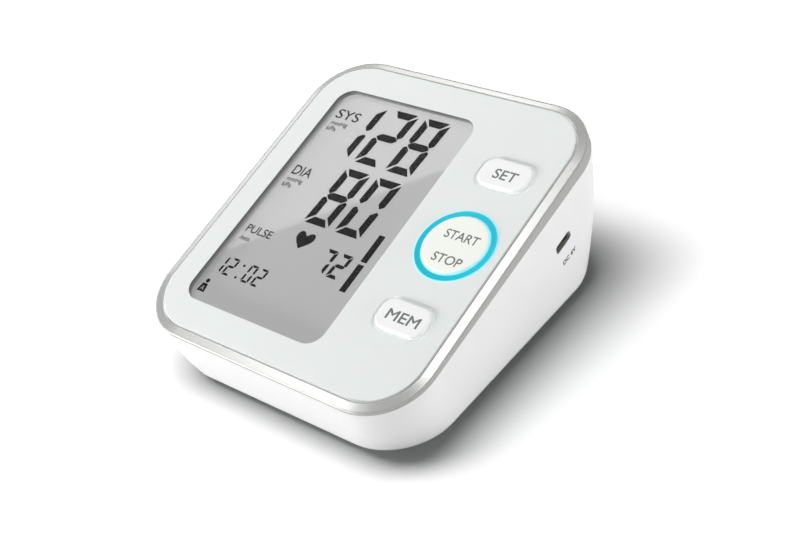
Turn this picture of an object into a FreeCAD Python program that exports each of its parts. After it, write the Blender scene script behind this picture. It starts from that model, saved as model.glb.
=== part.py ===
import FreeCAD, Part
import math
import os

# Console of an upper-arm blood pressure monitor: a wedge-shaped case that stands on a table, with a
# display window and three keys on its sloping face.
#
# Table frame: Z up, X to the user's right, -Y towards the user; origin under the middle of the case, on
# the table.  Face frame: X right, Y up the slope, Z out of the face; origin in the middle of the panel's
# top.  Parting frame: the same for the joint between the trim and the lower case.  Millimetres, degrees.

# ---- case -------------------------------------------------------------------------------------------
FACE_TILT = 14.4            # slope of the face
PARTING_WEDGE = 1.66        # the parting plane is this much flatter than the face
BODY_CORNER = 20.8
WALL = 2.2
FLOOR = 2.2
BASE_ROUND = 5.5            # rounding between wall and floor
BASE_CORNER = 24.5          # radius of the upright corners at the floor
WAIST_CORNER = 20.0         # the same at mid height
SIDE_DRAFT = 3.4            # how far each wall leans in by the floor
FRONT_DRAFT = 4.7
REAR_DRAFT = 6.0
BULGE = 0.4                 # share of the draft that is reached at mid height
FIT = 0.15                  # clearance between fixed pieces that fit together
SLIDE_FIT = 0.1             # clearance of a plunger or shaft in its bore
SEAT_GAP = 0.05             # clearance round a screw or under a tube

# ---- trim ring --------------------------------------------------------------------------------------
TRIM_WIDTH = 3.4            # panel edge to outer edge
TRIM_TOP_DROP = 0.25        # inner top edge below the panel's top
CREST_DROP = 1.1            # outer crest below the panel's top
CREST_ROUND = 0.7
BAND_FRONT = 0.9            # height of the outer band at the front
TONGUE_DEPTH = 2.2          # how far the trim reaches down inside the lower case
TONGUE_CLEARANCE = 0.6
LEDGE = 1.4                 # width of the ledge under the panel's edge
PANEL_GAP = 0.45            # groove between panel and trim

# ---- face panel -------------------------------------------------------------------------------------
PANEL_THICKNESS = 2.0
PANEL_EDGE_ROUND = 0.6
SKIRT_THICKNESS = 1.6
SKIRT_DEPTH = 5.0           # below the panel's underside
WINDOW_WIDTH = 59.8
WINDOW_LENGTH = 95.4
WINDOW_CORNER = 6.0
WINDOW_LEFT = 9.3           # panel's edge to the window
WINDOW_FRONT = 10.6
WINDOW_REAR = 11.6
WINDOW_TO_KEYS = 21.4       # window's right edge to the middle of the keys
KEYS_TO_EDGE = 16.9         # middle of the keys to the panel's right edge
HOOK_WIDTH = 10.0
HOOK_TO_CORNER = 7.4        # outer hooks' middle to where the panel's corner begins
HOOK_REACH = 5.0            # below the skirt
HOOK_NOSE = 1.2
CATCH_THICKNESS = 1.6

# ---- display ----------------------------------------------------------------------------------------
LENS_THICKNESS = 1.2
LENS_BORDER = 2.0           # glued edge round the window
GLASS_GAP = 0.3
GLASS_THICKNESS = 2.2
GLASS_CORNER = 2.5
REFLECTOR_THICKNESS = 0.4
FRAME_WALL = 1.2
FRAME_LEDGE = 2.4
FRAME_LEDGE_THICKNESS = 1.2
STRIP_WIDTH = 2.2
STRIP_LENGTH = 50.0
STRIP_EDGE = 0.6            # strip to the edge of the glass

# ---- main board -------------------------------------------------------------------------------------
BOARD_DEPTH = 10.0          # panel's top to board's top
BOARD_OVER_BAY = 0.87       # clearance over the front edge of the battery bay
BOARD_THICKNESS = 1.6
BOARD_GAP = 0.3             # to the skirt
BOARD_BOSS_RADIUS = 2.4
BOARD_BOSS_SIDE = 1.3       # post to the skirt's right side
BOARD_BOSS_END = 1.5        # post to the skirt's front and rear
BOARD_SCREW_RADIUS = 0.95
BOARD_SCREW_LENGTH = 6.0
BOARD_SCREW_SPARE = 0.5     # hole past the screw's end
BOARD_HEAD_RADIUS = 1.9
BOARD_HEAD_HEIGHT = 1.3
PROCESSOR_SIZE = 14.0
PROCESSOR_HEIGHT = 1.4
PROCESSOR_TO_KEYS = 28.8
PROCESSOR_Y = 2.0
CHIP_LENGTH = 3.2
CHIP_WIDTH = 1.6
CHIP_HEIGHT = 1.1
CHIP_PITCH = 4.6
CHIP_COUNT = 6
BUZZER_RADIUS = 6.0
BUZZER_HEIGHT = 7.5
BUZZER_HOLE = 1.0
BUZZER_TO_KEYS = 8.8
BUZZER_Y = 4.0

# ---- keys -------------------------------------------------------------------------------------------
KEY_PITCH = 29.2
START_Y = 0.6
KEY_WIDTH = 18.4
KEY_LENGTH = 11.2
KEY_CORNER = 4.2
KEY_RISE = 0.9              # key's top above the panel's top
KEY_GAP = 0.15              # round a key
KEY_EDGE_ROUND = 0.7
KEY_FLANGE = 0.9
KEY_FLANGE_THICKNESS = 1.0
KEY_WALL = 1.2
KEY_TOP = 1.5
STEM_RADIUS = 2.2
DISH_WIDTH = 1.2            # sloping recess round a key
DISH_DEPTH = 0.9
START_RADIUS = 11.15
RING_OUTER = 13.6
RING_RISE = 0.15
RING_LIP = 3.2              # depth of the ring's visible lip
GUIDE_WALL = 1.6
GUIDE_FLANGE = 1.2
GUIDE_DEPTH = 7.8           # bottom of the light guide below the panel's top
LED_LENGTH = 2.0
LED_WIDTH = 1.25
LED_HEIGHT = 1.1
LED_COUNT = 4
SWITCH_SIZE = 6.2
SWITCH_HEIGHT = 3.4
SWITCH_FLOOR = 0.5
PLUNGER_RADIUS = 1.65
PLUNGER_RISE = 1.4
PLUNGER_LENGTH = 3.0

# ---- case screws and feet ---------------------------------------------------------------------------
SCREW_SIDE = 18.1           # screws in from the right side, the front and the rear of the case
SCREW_FROM_FRONT = 21.2
SCREW_FROM_REAR = 19.7
SCREW_JOIN = 15.0           # end of the upper boss, straight down from the panel's top
SCREW_SHELF = 3.0
SCREW_RADIUS = 1.3
SCREW_LENGTH = 10.0
SCREW_HEAD_RADIUS = 2.5
SCREW_HEAD_HEIGHT = 1.8
SCREW_CROSS = 0.7           # width of the slots in its head
SCREW_BOSS_RADIUS = 3.4
LOWER_BOSS_RADIUS = 4.2
COUNTERBORE_RADIUS = 2.9
FOOT_SIDE = 27.1            # feet in from the sides
FOOT_TO_BAY = 1.0           # front feet to the battery bay
FOOT_FROM_REAR = 23.2
FOOT_RADIUS = 4.4
FOOT_STAND = 1.2
FOOT_RECESS = 0.8
FOOT_ROUND = 0.5

# ---- batteries --------------------------------------------------------------------------------------
CELL_RADIUS = 7.15
CELL_LENGTH = 50.5
CELL_NUB_RADIUS = 2.7
CELL_NUB_HEIGHT = 1.3
CELL_ROUND = 0.5
CELL_PITCH = 14.9
CELL_COUNT = 4
CELL_END_GAP = 1.75         # each end, for the contacts
CELL_SIDE_GAP = 0.55
CELL_DOOR_GAP = 0.8
CELL_ROOF_GAP = 0.3
BAY_WALL = 1.6
BAY_TO_PUMP = 0.3           # bay's rear wall to the pump's cradles
DOOR_STOP_REACH = 1.4       # corner stops of the door, under the outer cells
DOOR_THICKNESS = 1.8
DOOR_GAP = 0.3
TAB_WIDTH = 5.0
TAB_THICKNESS = 1.0
TAB_REACH = 2.7
TAB_ROOT = 1.6
TAB_LIFT = 0.3              # tab above the floor's inner face
TAB_HEADROOM = 5.0
LATCH_WIDTH = 12.0
LATCH_SLIT = 0.8
LATCH_LENGTH = 6.0
SCOOP_RADIUS = 8.0
SCOOP_DEPTH = 1.2
GRIP_COUNT = 4
GRIP_DEPTH = 0.4
GRIP_PITCH = 1.6
CONTACT_THICKNESS = 0.4
CONTACT_WIDTH = 9.0
CONTACT_HEIGHT = 11.0
LUG_WIDTH = 3.0
LUG_RISE = 2.4              # above the bay's roof
SPRING_WIRE = 0.5
SPRING_RADIUS = 3.4
SPRING_TURNS = 2

# ---- pump -------------------------------------------------------------------------------------------
PUMP_FROM_REAR = 22.9       # pump's axis from the rear of the case
PUMP_Z = 17.2
PUMP_RADIUS = 11.5
MOTOR_LENGTH = 24.0
MOTOR_WALL = 0.8
MOTOR_CAP_LENGTH = 2.0
ARMATURE_RADIUS = 8.8
ARMATURE_LENGTH = 15.0
SHAFT_RADIUS = 1.0
CAM_RADIUS = 4.0
CAM_OFFSET = 1.5
CAM_LENGTH = 4.0
HEAD_LENGTH = 11.5
HEAD_BORE = 8.6
HEAD_END = 1.5              # wall between the cam's room and the motor
HEAD_SHAFT_GAP = 0.5
DIAPHRAGM_THICKNESS = 1.5
COVER_LENGTH = 11.0
PUMP_RING_WALL = 1.1
PUMP_RING_WIDTH = 5.0
CRADLE_WIDTH = 3.0
CRADLE_MARGIN = 1.8
CRADLE_ON_COVER = 7.1       # cradles' middles, from the cover's end and from the motor's front
CRADLE_ON_MOTOR = 17.0
STRAP_THICKNESS = 0.8

# ---- air path ---------------------------------------------------------------------------------------
AIR_FORWARD = 6.7           # air line in front of the pump's axis and above it
AIR_RISE = 6.6
SOCKET_FLANGE_RADIUS = 6.4
SOCKET_FLANGE = 1.6
SOCKET_RADIUS = 4.5
SOCKET_LENGTH = 10.8        # from the flange's outer face to the barb
SOCKET_BORE = 2.5
SOCKET_BORE_DEPTH = 10.0
SOCKET_INSET = 3.4          # wall seat, in from the left side of the case
SOCKET_PAD = 3.0
SOCKET_NUT_RADIUS = 6.6
SOCKET_NUT_LENGTH = 2.8
BARB_RADIUS = 1.6
BARB_LENGTH = 2.6
BARB_BORE = 0.9
BARB_GAP = 0.6              # between two barbs in one straight tube
TUBE_WALL = 0.9
MANIFOLD_SIZE = 6.4
SENSOR_SIZE = 10.4
SENSOR_HEIGHT = 4.5
SENSOR_BACK = 3.2           # roughly, sensor behind the air line

# ---- exhaust valve ----------------------------------------------------------------------------------
VALVE_SIDE = 15.5           # valve's axis, in from the left side of the case
VALVE_TO_BAY = 1.0          # valve's middle behind the bay's
VALVE_LENGTH = 22.0
VALVE_WIDTH = 13.0
VALVE_HEIGHT = 13.0
VALVE_PLATE = 1.2
COIL_RADIUS = 5.6
COIL_BORE = 2.2
COIL_STEP = 0.5             # winding below its flanges
COIL_FLANGE = 0.8
VALVE_PLUNGER_RADIUS = 2.0
VALVE_PLUNGER_LENGTH = 12.0
NOZZLE_RADIUS = 4.2
NOZZLE_LENGTH = 3.0
VALVE_SADDLE = 1.0
VALVE_RIM = 1.2

# ---- power inlet ------------------------------------------------------------------------------------
INLET_FROM_REAR = 35.0
INLET_DROP = 12.2           # below the middle of the panel
INLET_INSET = 1.6           # mouth of the socket, in from the right side of the case
INLET_SLOT_WIDTH = 8.2
INLET_SLOT_HEIGHT = 3.3
SHELL_WIDTH = 7.5
SHELL_HEIGHT = 2.6
SHELL_WALL = 0.3
SHELL_LENGTH = 5.6
TONGUE_WIDTH = 4.0
TONGUE_THICKNESS = 0.7
TONGUE_ROOM = 0.35          # above the tongue
TONGUE_BACK = 1.2
INLET_BOARD_WIDTH = 15.0
INLET_BOARD_LENGTH = 11.0
INLET_BOARD_THICKNESS = 1.2
INLET_SHELF = 2.0
INLET_BOARD_INSET = 3.9     # outer end of the inlet board, behind the socket's mouth

# ---- leads ------------------------------------------------------------------------------------------
LEAD_DIAMETER = 1.3
LEAD_SPACING = 2.4
LEAD_RUN = 4.0              # straight run at each end
MOTOR_LEAD_OFFSET = 5.0

X_AXIS = FreeCAD.Vector(1, 0, 0)
Y_AXIS = FreeCAD.Vector(0, 1, 0)
Z_AXIS = FreeCAD.Vector(0, 0, 1)
ORIGIN = FreeCAD.Vector(0, 0, 0)
BIG = 400.0                 # larger than the part, for cutting blocks

BASE_Z = FOOT_STAND
FLOOR_Z = BASE_Z + FLOOR
PANEL_WIDTH = WINDOW_LEFT + WINDOW_WIDTH + WINDOW_TO_KEYS + KEYS_TO_EDGE
PANEL_LENGTH = WINDOW_FRONT + WINDOW_LENGTH + WINDOW_REAR
PANEL_CORNER = BODY_CORNER - TRIM_WIDTH
WINDOW_X = WINDOW_LEFT + WINDOW_WIDTH / 2 - PANEL_WIDTH / 2
WINDOW_Y = WINDOW_FRONT + WINDOW_LENGTH / 2 - PANEL_LENGTH / 2
KEY_X = PANEL_WIDTH / 2 - KEYS_TO_EDGE
RING_INNER = START_RADIUS + KEY_GAP
HOOK_PITCH = PANEL_LENGTH / 2 - PANEL_CORNER - HOOK_TO_CORNER
PROCESSOR_X = KEY_X - PROCESSOR_TO_KEYS
BUZZER_X = KEY_X - BUZZER_TO_KEYS
BODY_WIDTH = PANEL_WIDTH + 2 * TRIM_WIDTH
BODY_LENGTH = PANEL_LENGTH + 2 * TRIM_WIDTH
HALF_WIDTH = BODY_WIDTH / 2
HALF_LENGTH = BODY_LENGTH / 2
PARTING_TILT = FACE_TILT - PARTING_WEDGE
PARTING_DEPTH = CREST_DROP + BAND_FRONT + HALF_LENGTH * math.tan(math.radians(PARTING_WEDGE))
SCREW_X = HALF_WIDTH - SCREW_SIDE
SCREW_FRONT = SCREW_FROM_FRONT - HALF_LENGTH
SCREW_REAR = HALF_LENGTH - SCREW_FROM_REAR
BOARD_BOTTOM = -BOARD_DEPTH - BOARD_THICKNESS
PLUNGER_TOP = -BOARD_DEPTH + SWITCH_HEIGHT + PLUNGER_RISE
DOOR_TOP = BASE_Z + DOOR_THICKNESS
CELL_Z = DOOR_TOP + CELL_DOOR_GAP + CELL_RADIUS
BAY_WIDTH = (CELL_COUNT - 1) * CELL_PITCH + 2 * CELL_RADIUS + 2 * CELL_SIDE_GAP
BAY_LENGTH = CELL_LENGTH + 2 * CELL_END_GAP
BAY_ROOF = CELL_Z + CELL_RADIUS + CELL_ROOF_GAP
PUMP_Y = HALF_LENGTH - PUMP_FROM_REAR
PUMP_SEAT = PUMP_RADIUS + PUMP_RING_WALL
BAY_REAR = PUMP_Y - PUMP_SEAT - CRADLE_MARGIN - BAY_TO_PUMP - BAY_WALL
BAY_FRONT = BAY_REAR - BAY_LENGTH
BAY_Y = (BAY_REAR + BAY_FRONT) / 2
FOOT_X = HALF_WIDTH - FOOT_SIDE
FOOT_FRONT = BAY_FRONT - BAY_WALL - FOOT_TO_BAY - FOOT_RADIUS
FOOT_REAR = HALF_LENGTH - FOOT_FROM_REAR
AIR_Y = PUMP_Y - AIR_FORWARD
AIR_Z = PUMP_Z + AIR_RISE
SOCKET_SEAT = HALF_WIDTH - SOCKET_INSET
TUBE_INNER = BARB_RADIUS + SEAT_GAP
TUBE_OUTER = TUBE_INNER + TUBE_WALL
TUBE_RUN = 2 * BARB_LENGTH + BARB_GAP
MANIFOLD_X = -SOCKET_SEAT - SOCKET_FLANGE + SOCKET_LENGTH + TUBE_RUN + MANIFOLD_SIZE / 2
COVER_X = MANIFOLD_X + MANIFOLD_SIZE / 2 + TUBE_RUN
PUMP_X = COVER_X + COVER_LENGTH + DIAPHRAGM_THICKNESS + HEAD_LENGTH
CRADLES = (COVER_X + CRADLE_ON_COVER, PUMP_X + CRADLE_ON_MOTOR)
VALVE_X = VALVE_SIDE - HALF_WIDTH
VALVE_Y = BAY_Y + VALVE_TO_BAY
INLET_Y = HALF_LENGTH - INLET_FROM_REAR
INLET_FACE = HALF_WIDTH - INLET_INSET
INLET_BOARD_EDGE = INLET_FACE - INLET_BOARD_INSET


# ---- basic shapes -----------------------------------------------------------------------------------

def vec(x, y, z):
    """Short name for a point."""
    return FreeCAD.Vector(x, y, z)


def outline(width, length, radius, z=0.0, x=0.0, y=0.0):
    """Closed rounded rectangle about (x, y) at height z, always starting at the same corner."""
    half_w = width / 2
    half_l = length / 2
    bow = radius * (1 - math.sqrt(0.5))
    edges = []
    last = None
    first = None
    for sx, sy in ((1, -1), (1, 1), (-1, 1), (-1, -1)):
        on_end = vec(x + sx * (half_w - radius), y + sy * half_l, z)
        on_side = vec(x + sx * half_w, y + sy * (half_l - radius), z)
        middle = vec(x + sx * (half_w - bow), y + sy * (half_l - bow), z)
        start, end = (on_end, on_side) if sx * sy < 0 else (on_side, on_end)
        if last is not None:
            edges.append(Part.LineSegment(last, start).toShape())
        else:
            first = start
        edges.append(Part.Arc(start, middle, end).toShape())
        last = end
    edges.append(Part.LineSegment(last, first).toShape())
    return Part.Wire(edges)


def slab(width, length, radius, low, high, x=0.0, y=0.0):
    """Rounded rectangle about (x, y), filled from height low to height high."""
    face = Part.Face(outline(width, length, radius, low, x, y))
    return face.extrude(vec(0, 0, high - low))


def box(x_size, y_size, low, high, x=0.0, y=0.0):
    """Block about (x, y) from height low to height high."""
    return Part.makeBox(x_size, y_size, high - low, vec(x - x_size / 2, y - y_size / 2, low))


def disc(radius, low, high, x=0.0, y=0.0):
    """Upright cylinder about (x, y)."""
    return Part.makeCylinder(radius, high - low, vec(x, y, low), Z_AXIS)


def rod(radius, start, end):
    """Cylinder from one point to another."""
    along = end.sub(start)
    return Part.makeCylinder(radius, along.Length, start, along)


def pipe_piece(outer, inner, start, end):
    """Straight tube from one point to another."""
    return rod(outer, start, end).cut(rod(inner, start, end))


def swept(route, radius):
    """Round bar along straight runs that tangent arcs join, each arc as large as its runs allow."""
    edges = []
    at = route[0]
    for before, corner, after in zip(route, route[1:], route[2:]):
        arrive = corner.sub(before)
        leave = after.sub(corner)
        turn = arrive.getAngle(leave)
        reach = 0.45 * min(arrive.Length, leave.Length)
        arc_start = corner.sub(FreeCAD.Vector(arrive).normalize().multiply(reach))
        arc_end = corner.add(FreeCAD.Vector(leave).normalize().multiply(reach))
        bend = reach / math.tan(turn / 2)
        middle_of_chord = arc_start.add(arc_end).multiply(0.5)
        inward = middle_of_chord.sub(corner)
        to_centre = bend / math.cos(turn / 2)
        top = corner.add(FreeCAD.Vector(inward).normalize().multiply(to_centre - bend))
        edges.append(Part.LineSegment(at, arc_start).toShape())
        edges.append(Part.Arc(arc_start, top, arc_end).toShape())
        at = arc_end
    edges.append(Part.LineSegment(at, route[-1]).toShape())
    spine = Part.Wire(edges)
    start_way = route[1].sub(route[0])
    section = Part.Wire([Part.Circle(route[0], start_way, radius).toShape()])
    return spine.makePipeShell([section], True, True)


def prism(corners, way):
    """Flat polygon drawn out along way."""
    return Part.Face(Part.makePolygon(corners + corners[:1])).extrude(way)


def fused(shapes):
    """One solid out of shapes that touch or overlap."""
    return shapes[0].fuse(shapes[1:]).removeSplitter()


def rounded(shape, radius, chosen):
    """Round those edges of a shape for which chosen(edge) is true."""
    return shape.makeFillet(radius, [edge for edge in shape.Edges if chosen(edge)])


def flat_at(height):
    """Test for edges that lie level at a height."""
    return lambda edge: abs(edge.BoundBox.ZMin - height) < 1e-4 and abs(edge.BoundBox.ZMax - height) < 1e-4


def group(shapes):
    """Separate solids that share one node."""
    return Part.makeCompound(shapes)


# ---- frames -----------------------------------------------------------------------------------------

def face_middle_y():
    """Y of the panel's middle that puts the trim, the widest piece, about the origin."""
    ring = slab(BODY_WIDTH, BODY_LENGTH, BODY_CORNER, -BIG / 8, -CREST_DROP)
    below = box(BIG, BIG, -BIG, 0).rotated(ORIGIN, X_AXIS, -PARTING_WEDGE)
    ring = ring.cut(below.translated(vec(0, 0, -PARTING_DEPTH)))
    tilted = ring.rotated(ORIGIN, X_AXIS, FACE_TILT)
    return -(tilted.BoundBox.YMin + tilted.BoundBox.YMax) / 2


def face_middle_z():
    """Height of the panel's middle that puts the main board clear over the battery bay."""
    slope = math.radians(FACE_TILT)
    board_low = BAY_ROOF + BAY_WALL + BOARD_OVER_BAY
    rise = (FACE_Y - BAY_FRONT + BAY_WALL) * math.tan(slope)
    return board_low + rise + (BOARD_DEPTH + BOARD_THICKNESS) / math.cos(slope)


FACE_Y = face_middle_y()
FACE_HEIGHT = face_middle_z()
INLET_Z = FACE_HEIGHT - INLET_DROP


def in_face(shape):
    """Move a shape from the face frame to the table frame."""
    return shape.rotated(ORIGIN, X_AXIS, FACE_TILT).translated(vec(0, FACE_Y, FACE_HEIGHT))


def face_point(x, y, z):
    """A point of the face frame, in the table frame."""
    turn = FreeCAD.Rotation(X_AXIS, FACE_TILT)
    return turn.multVec(vec(x, y, z)).add(vec(0, FACE_Y, FACE_HEIGHT))


def in_parting(shape):
    """Move a shape from the parting frame to the table frame."""
    return shape.rotated(ORIGIN, X_AXIS, PARTING_TILT).translated(face_point(0, 0, -PARTING_DEPTH))


def face_top(y):
    """Height of the panel's top plane above a place on the table."""
    return FACE_HEIGHT + (y - FACE_Y) * math.tan(math.radians(FACE_TILT))


# ---- lower case -------------------------------------------------------------------------------------

def case_form(inset):
    """The lower case as a solid block, shrunk by inset: outlines lofted from the floor to the parting."""
    top_length = BODY_LENGTH / math.cos(math.radians(PARTING_WEDGE))
    top_middle = face_point(0, 0, -PARTING_DEPTH)
    run = top_length * math.cos(math.radians(PARTING_TILT))
    front = top_middle.y - run / 2
    rear = top_middle.y + run / 2
    floor_z = BASE_Z + inset

    def section(share, tilt, middle_z, corner):
        low_front = front + share * FRONT_DRAFT + inset
        low_rear = rear - share * REAR_DRAFT - inset
        width = BODY_WIDTH - 2 * (share * SIDE_DRAFT + inset)
        length = (low_rear - low_front) / math.cos(math.radians(tilt))
        wire = outline(width, length, corner - inset).rotated(ORIGIN, X_AXIS, tilt)
        return wire.translated(vec(0, (low_front + low_rear) / 2, middle_z))

    upper = section(0.0, PARTING_TILT, top_middle.z, BODY_CORNER)
    middle = section(BULGE, PARTING_TILT / 2, (top_middle.z + BASE_Z) / 2, WAIST_CORNER)
    lower = section(1.0, 0.0, floor_z, BASE_CORNER)
    block = Part.makeLoft([lower, middle, upper], True, False)
    return rounded(block, BASE_ROUND - inset, flat_at(floor_z))


def case_hollow():
    """Space inside the lower case, open through the rim."""
    mouth = slab(BODY_WIDTH - 2 * WALL, BODY_LENGTH - 2 * WALL, BODY_CORNER - WALL, 0, BIG / 8)
    return case_form(WALL).fuse(in_parting(mouth.translated(vec(0, 0, -SEAT_GAP))))


def screw_places():
    """X, Y and the height where the two bosses of each case screw meet."""
    return [(SCREW_X, y, face_top(y) - SCREW_JOIN) for y in (SCREW_FRONT, SCREW_REAR)]


def foot_places():
    """X and Y of the feet."""
    return [(sx * FOOT_X, y) for sx in (-1, 1) for y in (FOOT_FRONT, FOOT_REAR)]


def cell_places():
    """X of each cell and the way its nub points, +1 for the rear."""
    first = -(CELL_COUNT - 1) / 2 * CELL_PITCH
    return [(first + i * CELL_PITCH, 1 if i % 2 == 0 else -1) for i in range(CELL_COUNT)]


def tab_places():
    """X of the door's two tabs, in the valleys between cells."""
    return [-CELL_PITCH, CELL_PITCH]


def battery_bay():
    """Walls and roof round the cells, as one block, and the space inside it."""
    block = box(BAY_WIDTH + 2 * BAY_WALL, BAY_LENGTH + 2 * BAY_WALL, BASE_Z, BAY_ROOF + BAY_WALL, 0, BAY_Y)
    space = box(BAY_WIDTH, BAY_LENGTH, BASE_Z - 1, BAY_ROOF, 0, BAY_Y)
    return block, space


def door_stops():
    """Corner blocks in the bay that the door closes against."""
    size = CELL_SIDE_GAP + DOOR_STOP_REACH
    blocks = []
    for sx in (-1, 1):
        for sy in (-1, 1):
            x = sx * (BAY_WIDTH / 2 + BAY_WALL / 2 - size / 2)
            y = BAY_Y + sy * (BAY_LENGTH / 2 + BAY_WALL / 2 - size / 2)
            blocks.append(box(size, size, DOOR_TOP, DOOR_TOP + CELL_DOOR_GAP, x, y))
    return blocks


def cradle_rib(x):
    """Upright rib with a half-round seat for one of the pump's rubber rings."""
    width = 2 * (PUMP_SEAT + CRADLE_MARGIN)
    rib = box(CRADLE_WIDTH, width, BASE_Z + FLOOR / 2, PUMP_Z, x, PUMP_Y)
    notch = rod(PUMP_SEAT, pump_point(x - CRADLE_WIDTH), pump_point(x + CRADLE_WIDTH))
    return rib.cut(notch)


def valve_seat():
    """Low frame on the floor that the valve stands in."""
    room = 2 * (VALVE_RIM + FIT)
    rim_top = FLOOR_Z + 3 * VALVE_SADDLE
    outer = box(VALVE_WIDTH + room, VALVE_LENGTH + room, BASE_Z + FLOOR / 2, rim_top, VALVE_X, VALVE_Y)
    inner = box(VALVE_WIDTH + 2 * FIT, VALVE_LENGTH + 2 * FIT, FLOOR_Z + VALVE_SADDLE, BIG, VALVE_X, VALVE_Y)
    return outer.cut(inner)


def inlet_frame(shape):
    """Move a shape from the power inlet's own frame: X out of the wall, Z square to the parting line."""
    return shape.rotated(ORIGIN, X_AXIS, PARTING_TILT).translated(vec(0, INLET_Y, INLET_Z))


def inlet_board_top():
    """Top of the inlet board, in the inlet's frame."""
    return -SHELL_HEIGHT / 2


def inlet_shelf():
    """Bracket on the right wall under the inlet board."""
    top = inlet_board_top() - INLET_BOARD_THICKNESS
    inner_end = INLET_BOARD_EDGE - INLET_BOARD_LENGTH
    outer_end = BODY_WIDTH / 2 - WALL / 2 - SIDE_DRAFT * BULGE
    shelf = Part.makeBox(outer_end - inner_end, INLET_BOARD_WIDTH, INLET_SHELF,
                         vec(inner_end, -INLET_BOARD_WIDTH / 2, top - INLET_SHELF))
    web_depth = outer_end - inner_end
    corners = [vec(outer_end, 0, top),
               vec(inner_end, 0, top - INLET_SHELF / 2),
               vec(outer_end, 0, top - web_depth)]
    web = prism(corners, vec(0, INLET_SHELF, 0))
    far = INLET_BOARD_WIDTH / 2
    webs = [web.translated(vec(0, y, 0)) for y in (-far, far - INLET_SHELF)]
    return inlet_frame(fused([shelf] + webs))


def hook_places():
    """Place of each snap hook along the left edge of the face."""
    return [-HOOK_PITCH, 0.0, HOOK_PITCH]


def catch_block(y):
    """Rib inside the left wall that a hook's nose goes under."""
    skirt_edge = PANEL_WIDTH / 2 - LEDGE - FIT
    inner = skirt_edge + FIT
    outer = BODY_WIDTH / 2 - WALL / 2 - SIDE_DRAFT * BULGE / 2
    top = -(PANEL_THICKNESS + SKIRT_DEPTH + HOOK_REACH - HOOK_NOSE - 2 * FIT)
    corner = vec(-outer, y - HOOK_WIDTH / 2, top)
    return in_face(Part.makeBox(outer - inner, HOOK_WIDTH, CATCH_THICKNESS, corner))


def lower_housing():
    """Lower case: shell, battery bay, screw bosses, cradles, seats and wall openings."""
    shell = case_form(0.0).cut(case_hollow())
    bay, bay_space = battery_bay()
    solids = [shell, bay]
    solids += [disc(LOWER_BOSS_RADIUS, BASE_Z + FLOOR / 2, top, x, y) for x, y, top in screw_places()]
    within = case_form(WALL / 2)
    inner = [cradle_rib(x) for x in CRADLES]
    inner += [valve_seat(), inlet_shelf()] + [catch_block(y) for y in hook_places()]
    solids += [shape.common(within) for shape in inner]
    pad_out = vec(-SOCKET_SEAT - SOCKET_FLANGE / 2, AIR_Y, AIR_Z)
    pad_in = vec(-SOCKET_SEAT + SOCKET_PAD, AIR_Y, AIR_Z)
    solids.append(rod(SOCKET_FLANGE_RADIUS + WALL, pad_out, pad_in).common(case_form(0.0)))
    body = fused(solids)
    cuts = [bay_space]
    for x, y, top in screw_places():
        cuts.append(disc(COUNTERBORE_RADIUS, BASE_Z - 1, top - SCREW_SHELF, x, y))
        cuts.append(disc(SCREW_RADIUS + SEAT_GAP, BASE_Z, top + 1, x, y))
    cuts += [disc(FOOT_RADIUS + FIT, BASE_Z - 1, BASE_Z + FOOT_RECESS, x, y) for x, y in foot_places()]
    tab_room = TAB_WIDTH + 4 * DOOR_GAP
    for x in tab_places():
        cuts.append(box(tab_room, 2 * BAY_WALL, FLOOR_Z, FLOOR_Z + TAB_HEADROOM, x, BAY_REAR + BAY_WALL / 2))
    slot_depth = CONTACT_THICKNESS + FIT
    for x in lug_places():
        cuts.append(box(LUG_WIDTH + 2 * FIT, slot_depth, BAY_ROOF - 1, BIG, x, BAY_REAR - slot_depth / 2))
    seat = vec(-SOCKET_SEAT, AIR_Y, AIR_Z)
    through = vec(SOCKET_LENGTH, 0, 0)
    cuts.append(rod(SOCKET_FLANGE_RADIUS + FIT, seat, seat.sub(through)))
    cuts.append(rod(SOCKET_RADIUS + SEAT_GAP, seat.sub(through), seat.add(through)))
    slot = flat_bar(INLET_SLOT_WIDTH, INLET_SLOT_HEIGHT, INLET_FACE - SHELL_LENGTH, 4 * SHELL_LENGTH)
    cuts.append(inlet_frame(slot))
    scoop_middle = vec(0, BAY_FRONT - LATCH_SLIT, BASE_Z - SCOOP_RADIUS + SCOOP_DEPTH)
    cuts.append(Part.makeSphere(SCOOP_RADIUS, scoop_middle))
    body = body.cut(cuts)
    return body.fuse(door_stops()).removeSplitter()


def rubber_feet():
    """Four pads let into the underside."""
    pads = []
    for x, y in foot_places():
        pad = disc(FOOT_RADIUS, 0, BASE_Z + FOOT_RECESS, x, y)
        pads.append(rounded(pad, FOOT_ROUND, flat_at(0)))
    return group(pads)


def case_screws():
    """Screws up through the lower bosses into the panel's bosses."""
    screws = []
    for x, y, top in screw_places():
        seat = top - SCREW_SHELF
        low = seat - SCREW_HEAD_HEIGHT
        middle = seat - SCREW_HEAD_HEIGHT / 2
        head = disc(SCREW_HEAD_RADIUS, low, seat, x, y)
        cross = [box(2 * SCREW_RADIUS, SCREW_CROSS, low, middle, x, y),
                 box(SCREW_CROSS, 2 * SCREW_RADIUS, low, middle, x, y)]
        shank = disc(SCREW_RADIUS, seat, seat + SCREW_LENGTH, x, y)
        screws.append(head.cut(cross).fuse(shank))
    return group(screws)


# ---- trim ring and face panel -----------------------------------------------------------------------

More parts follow.
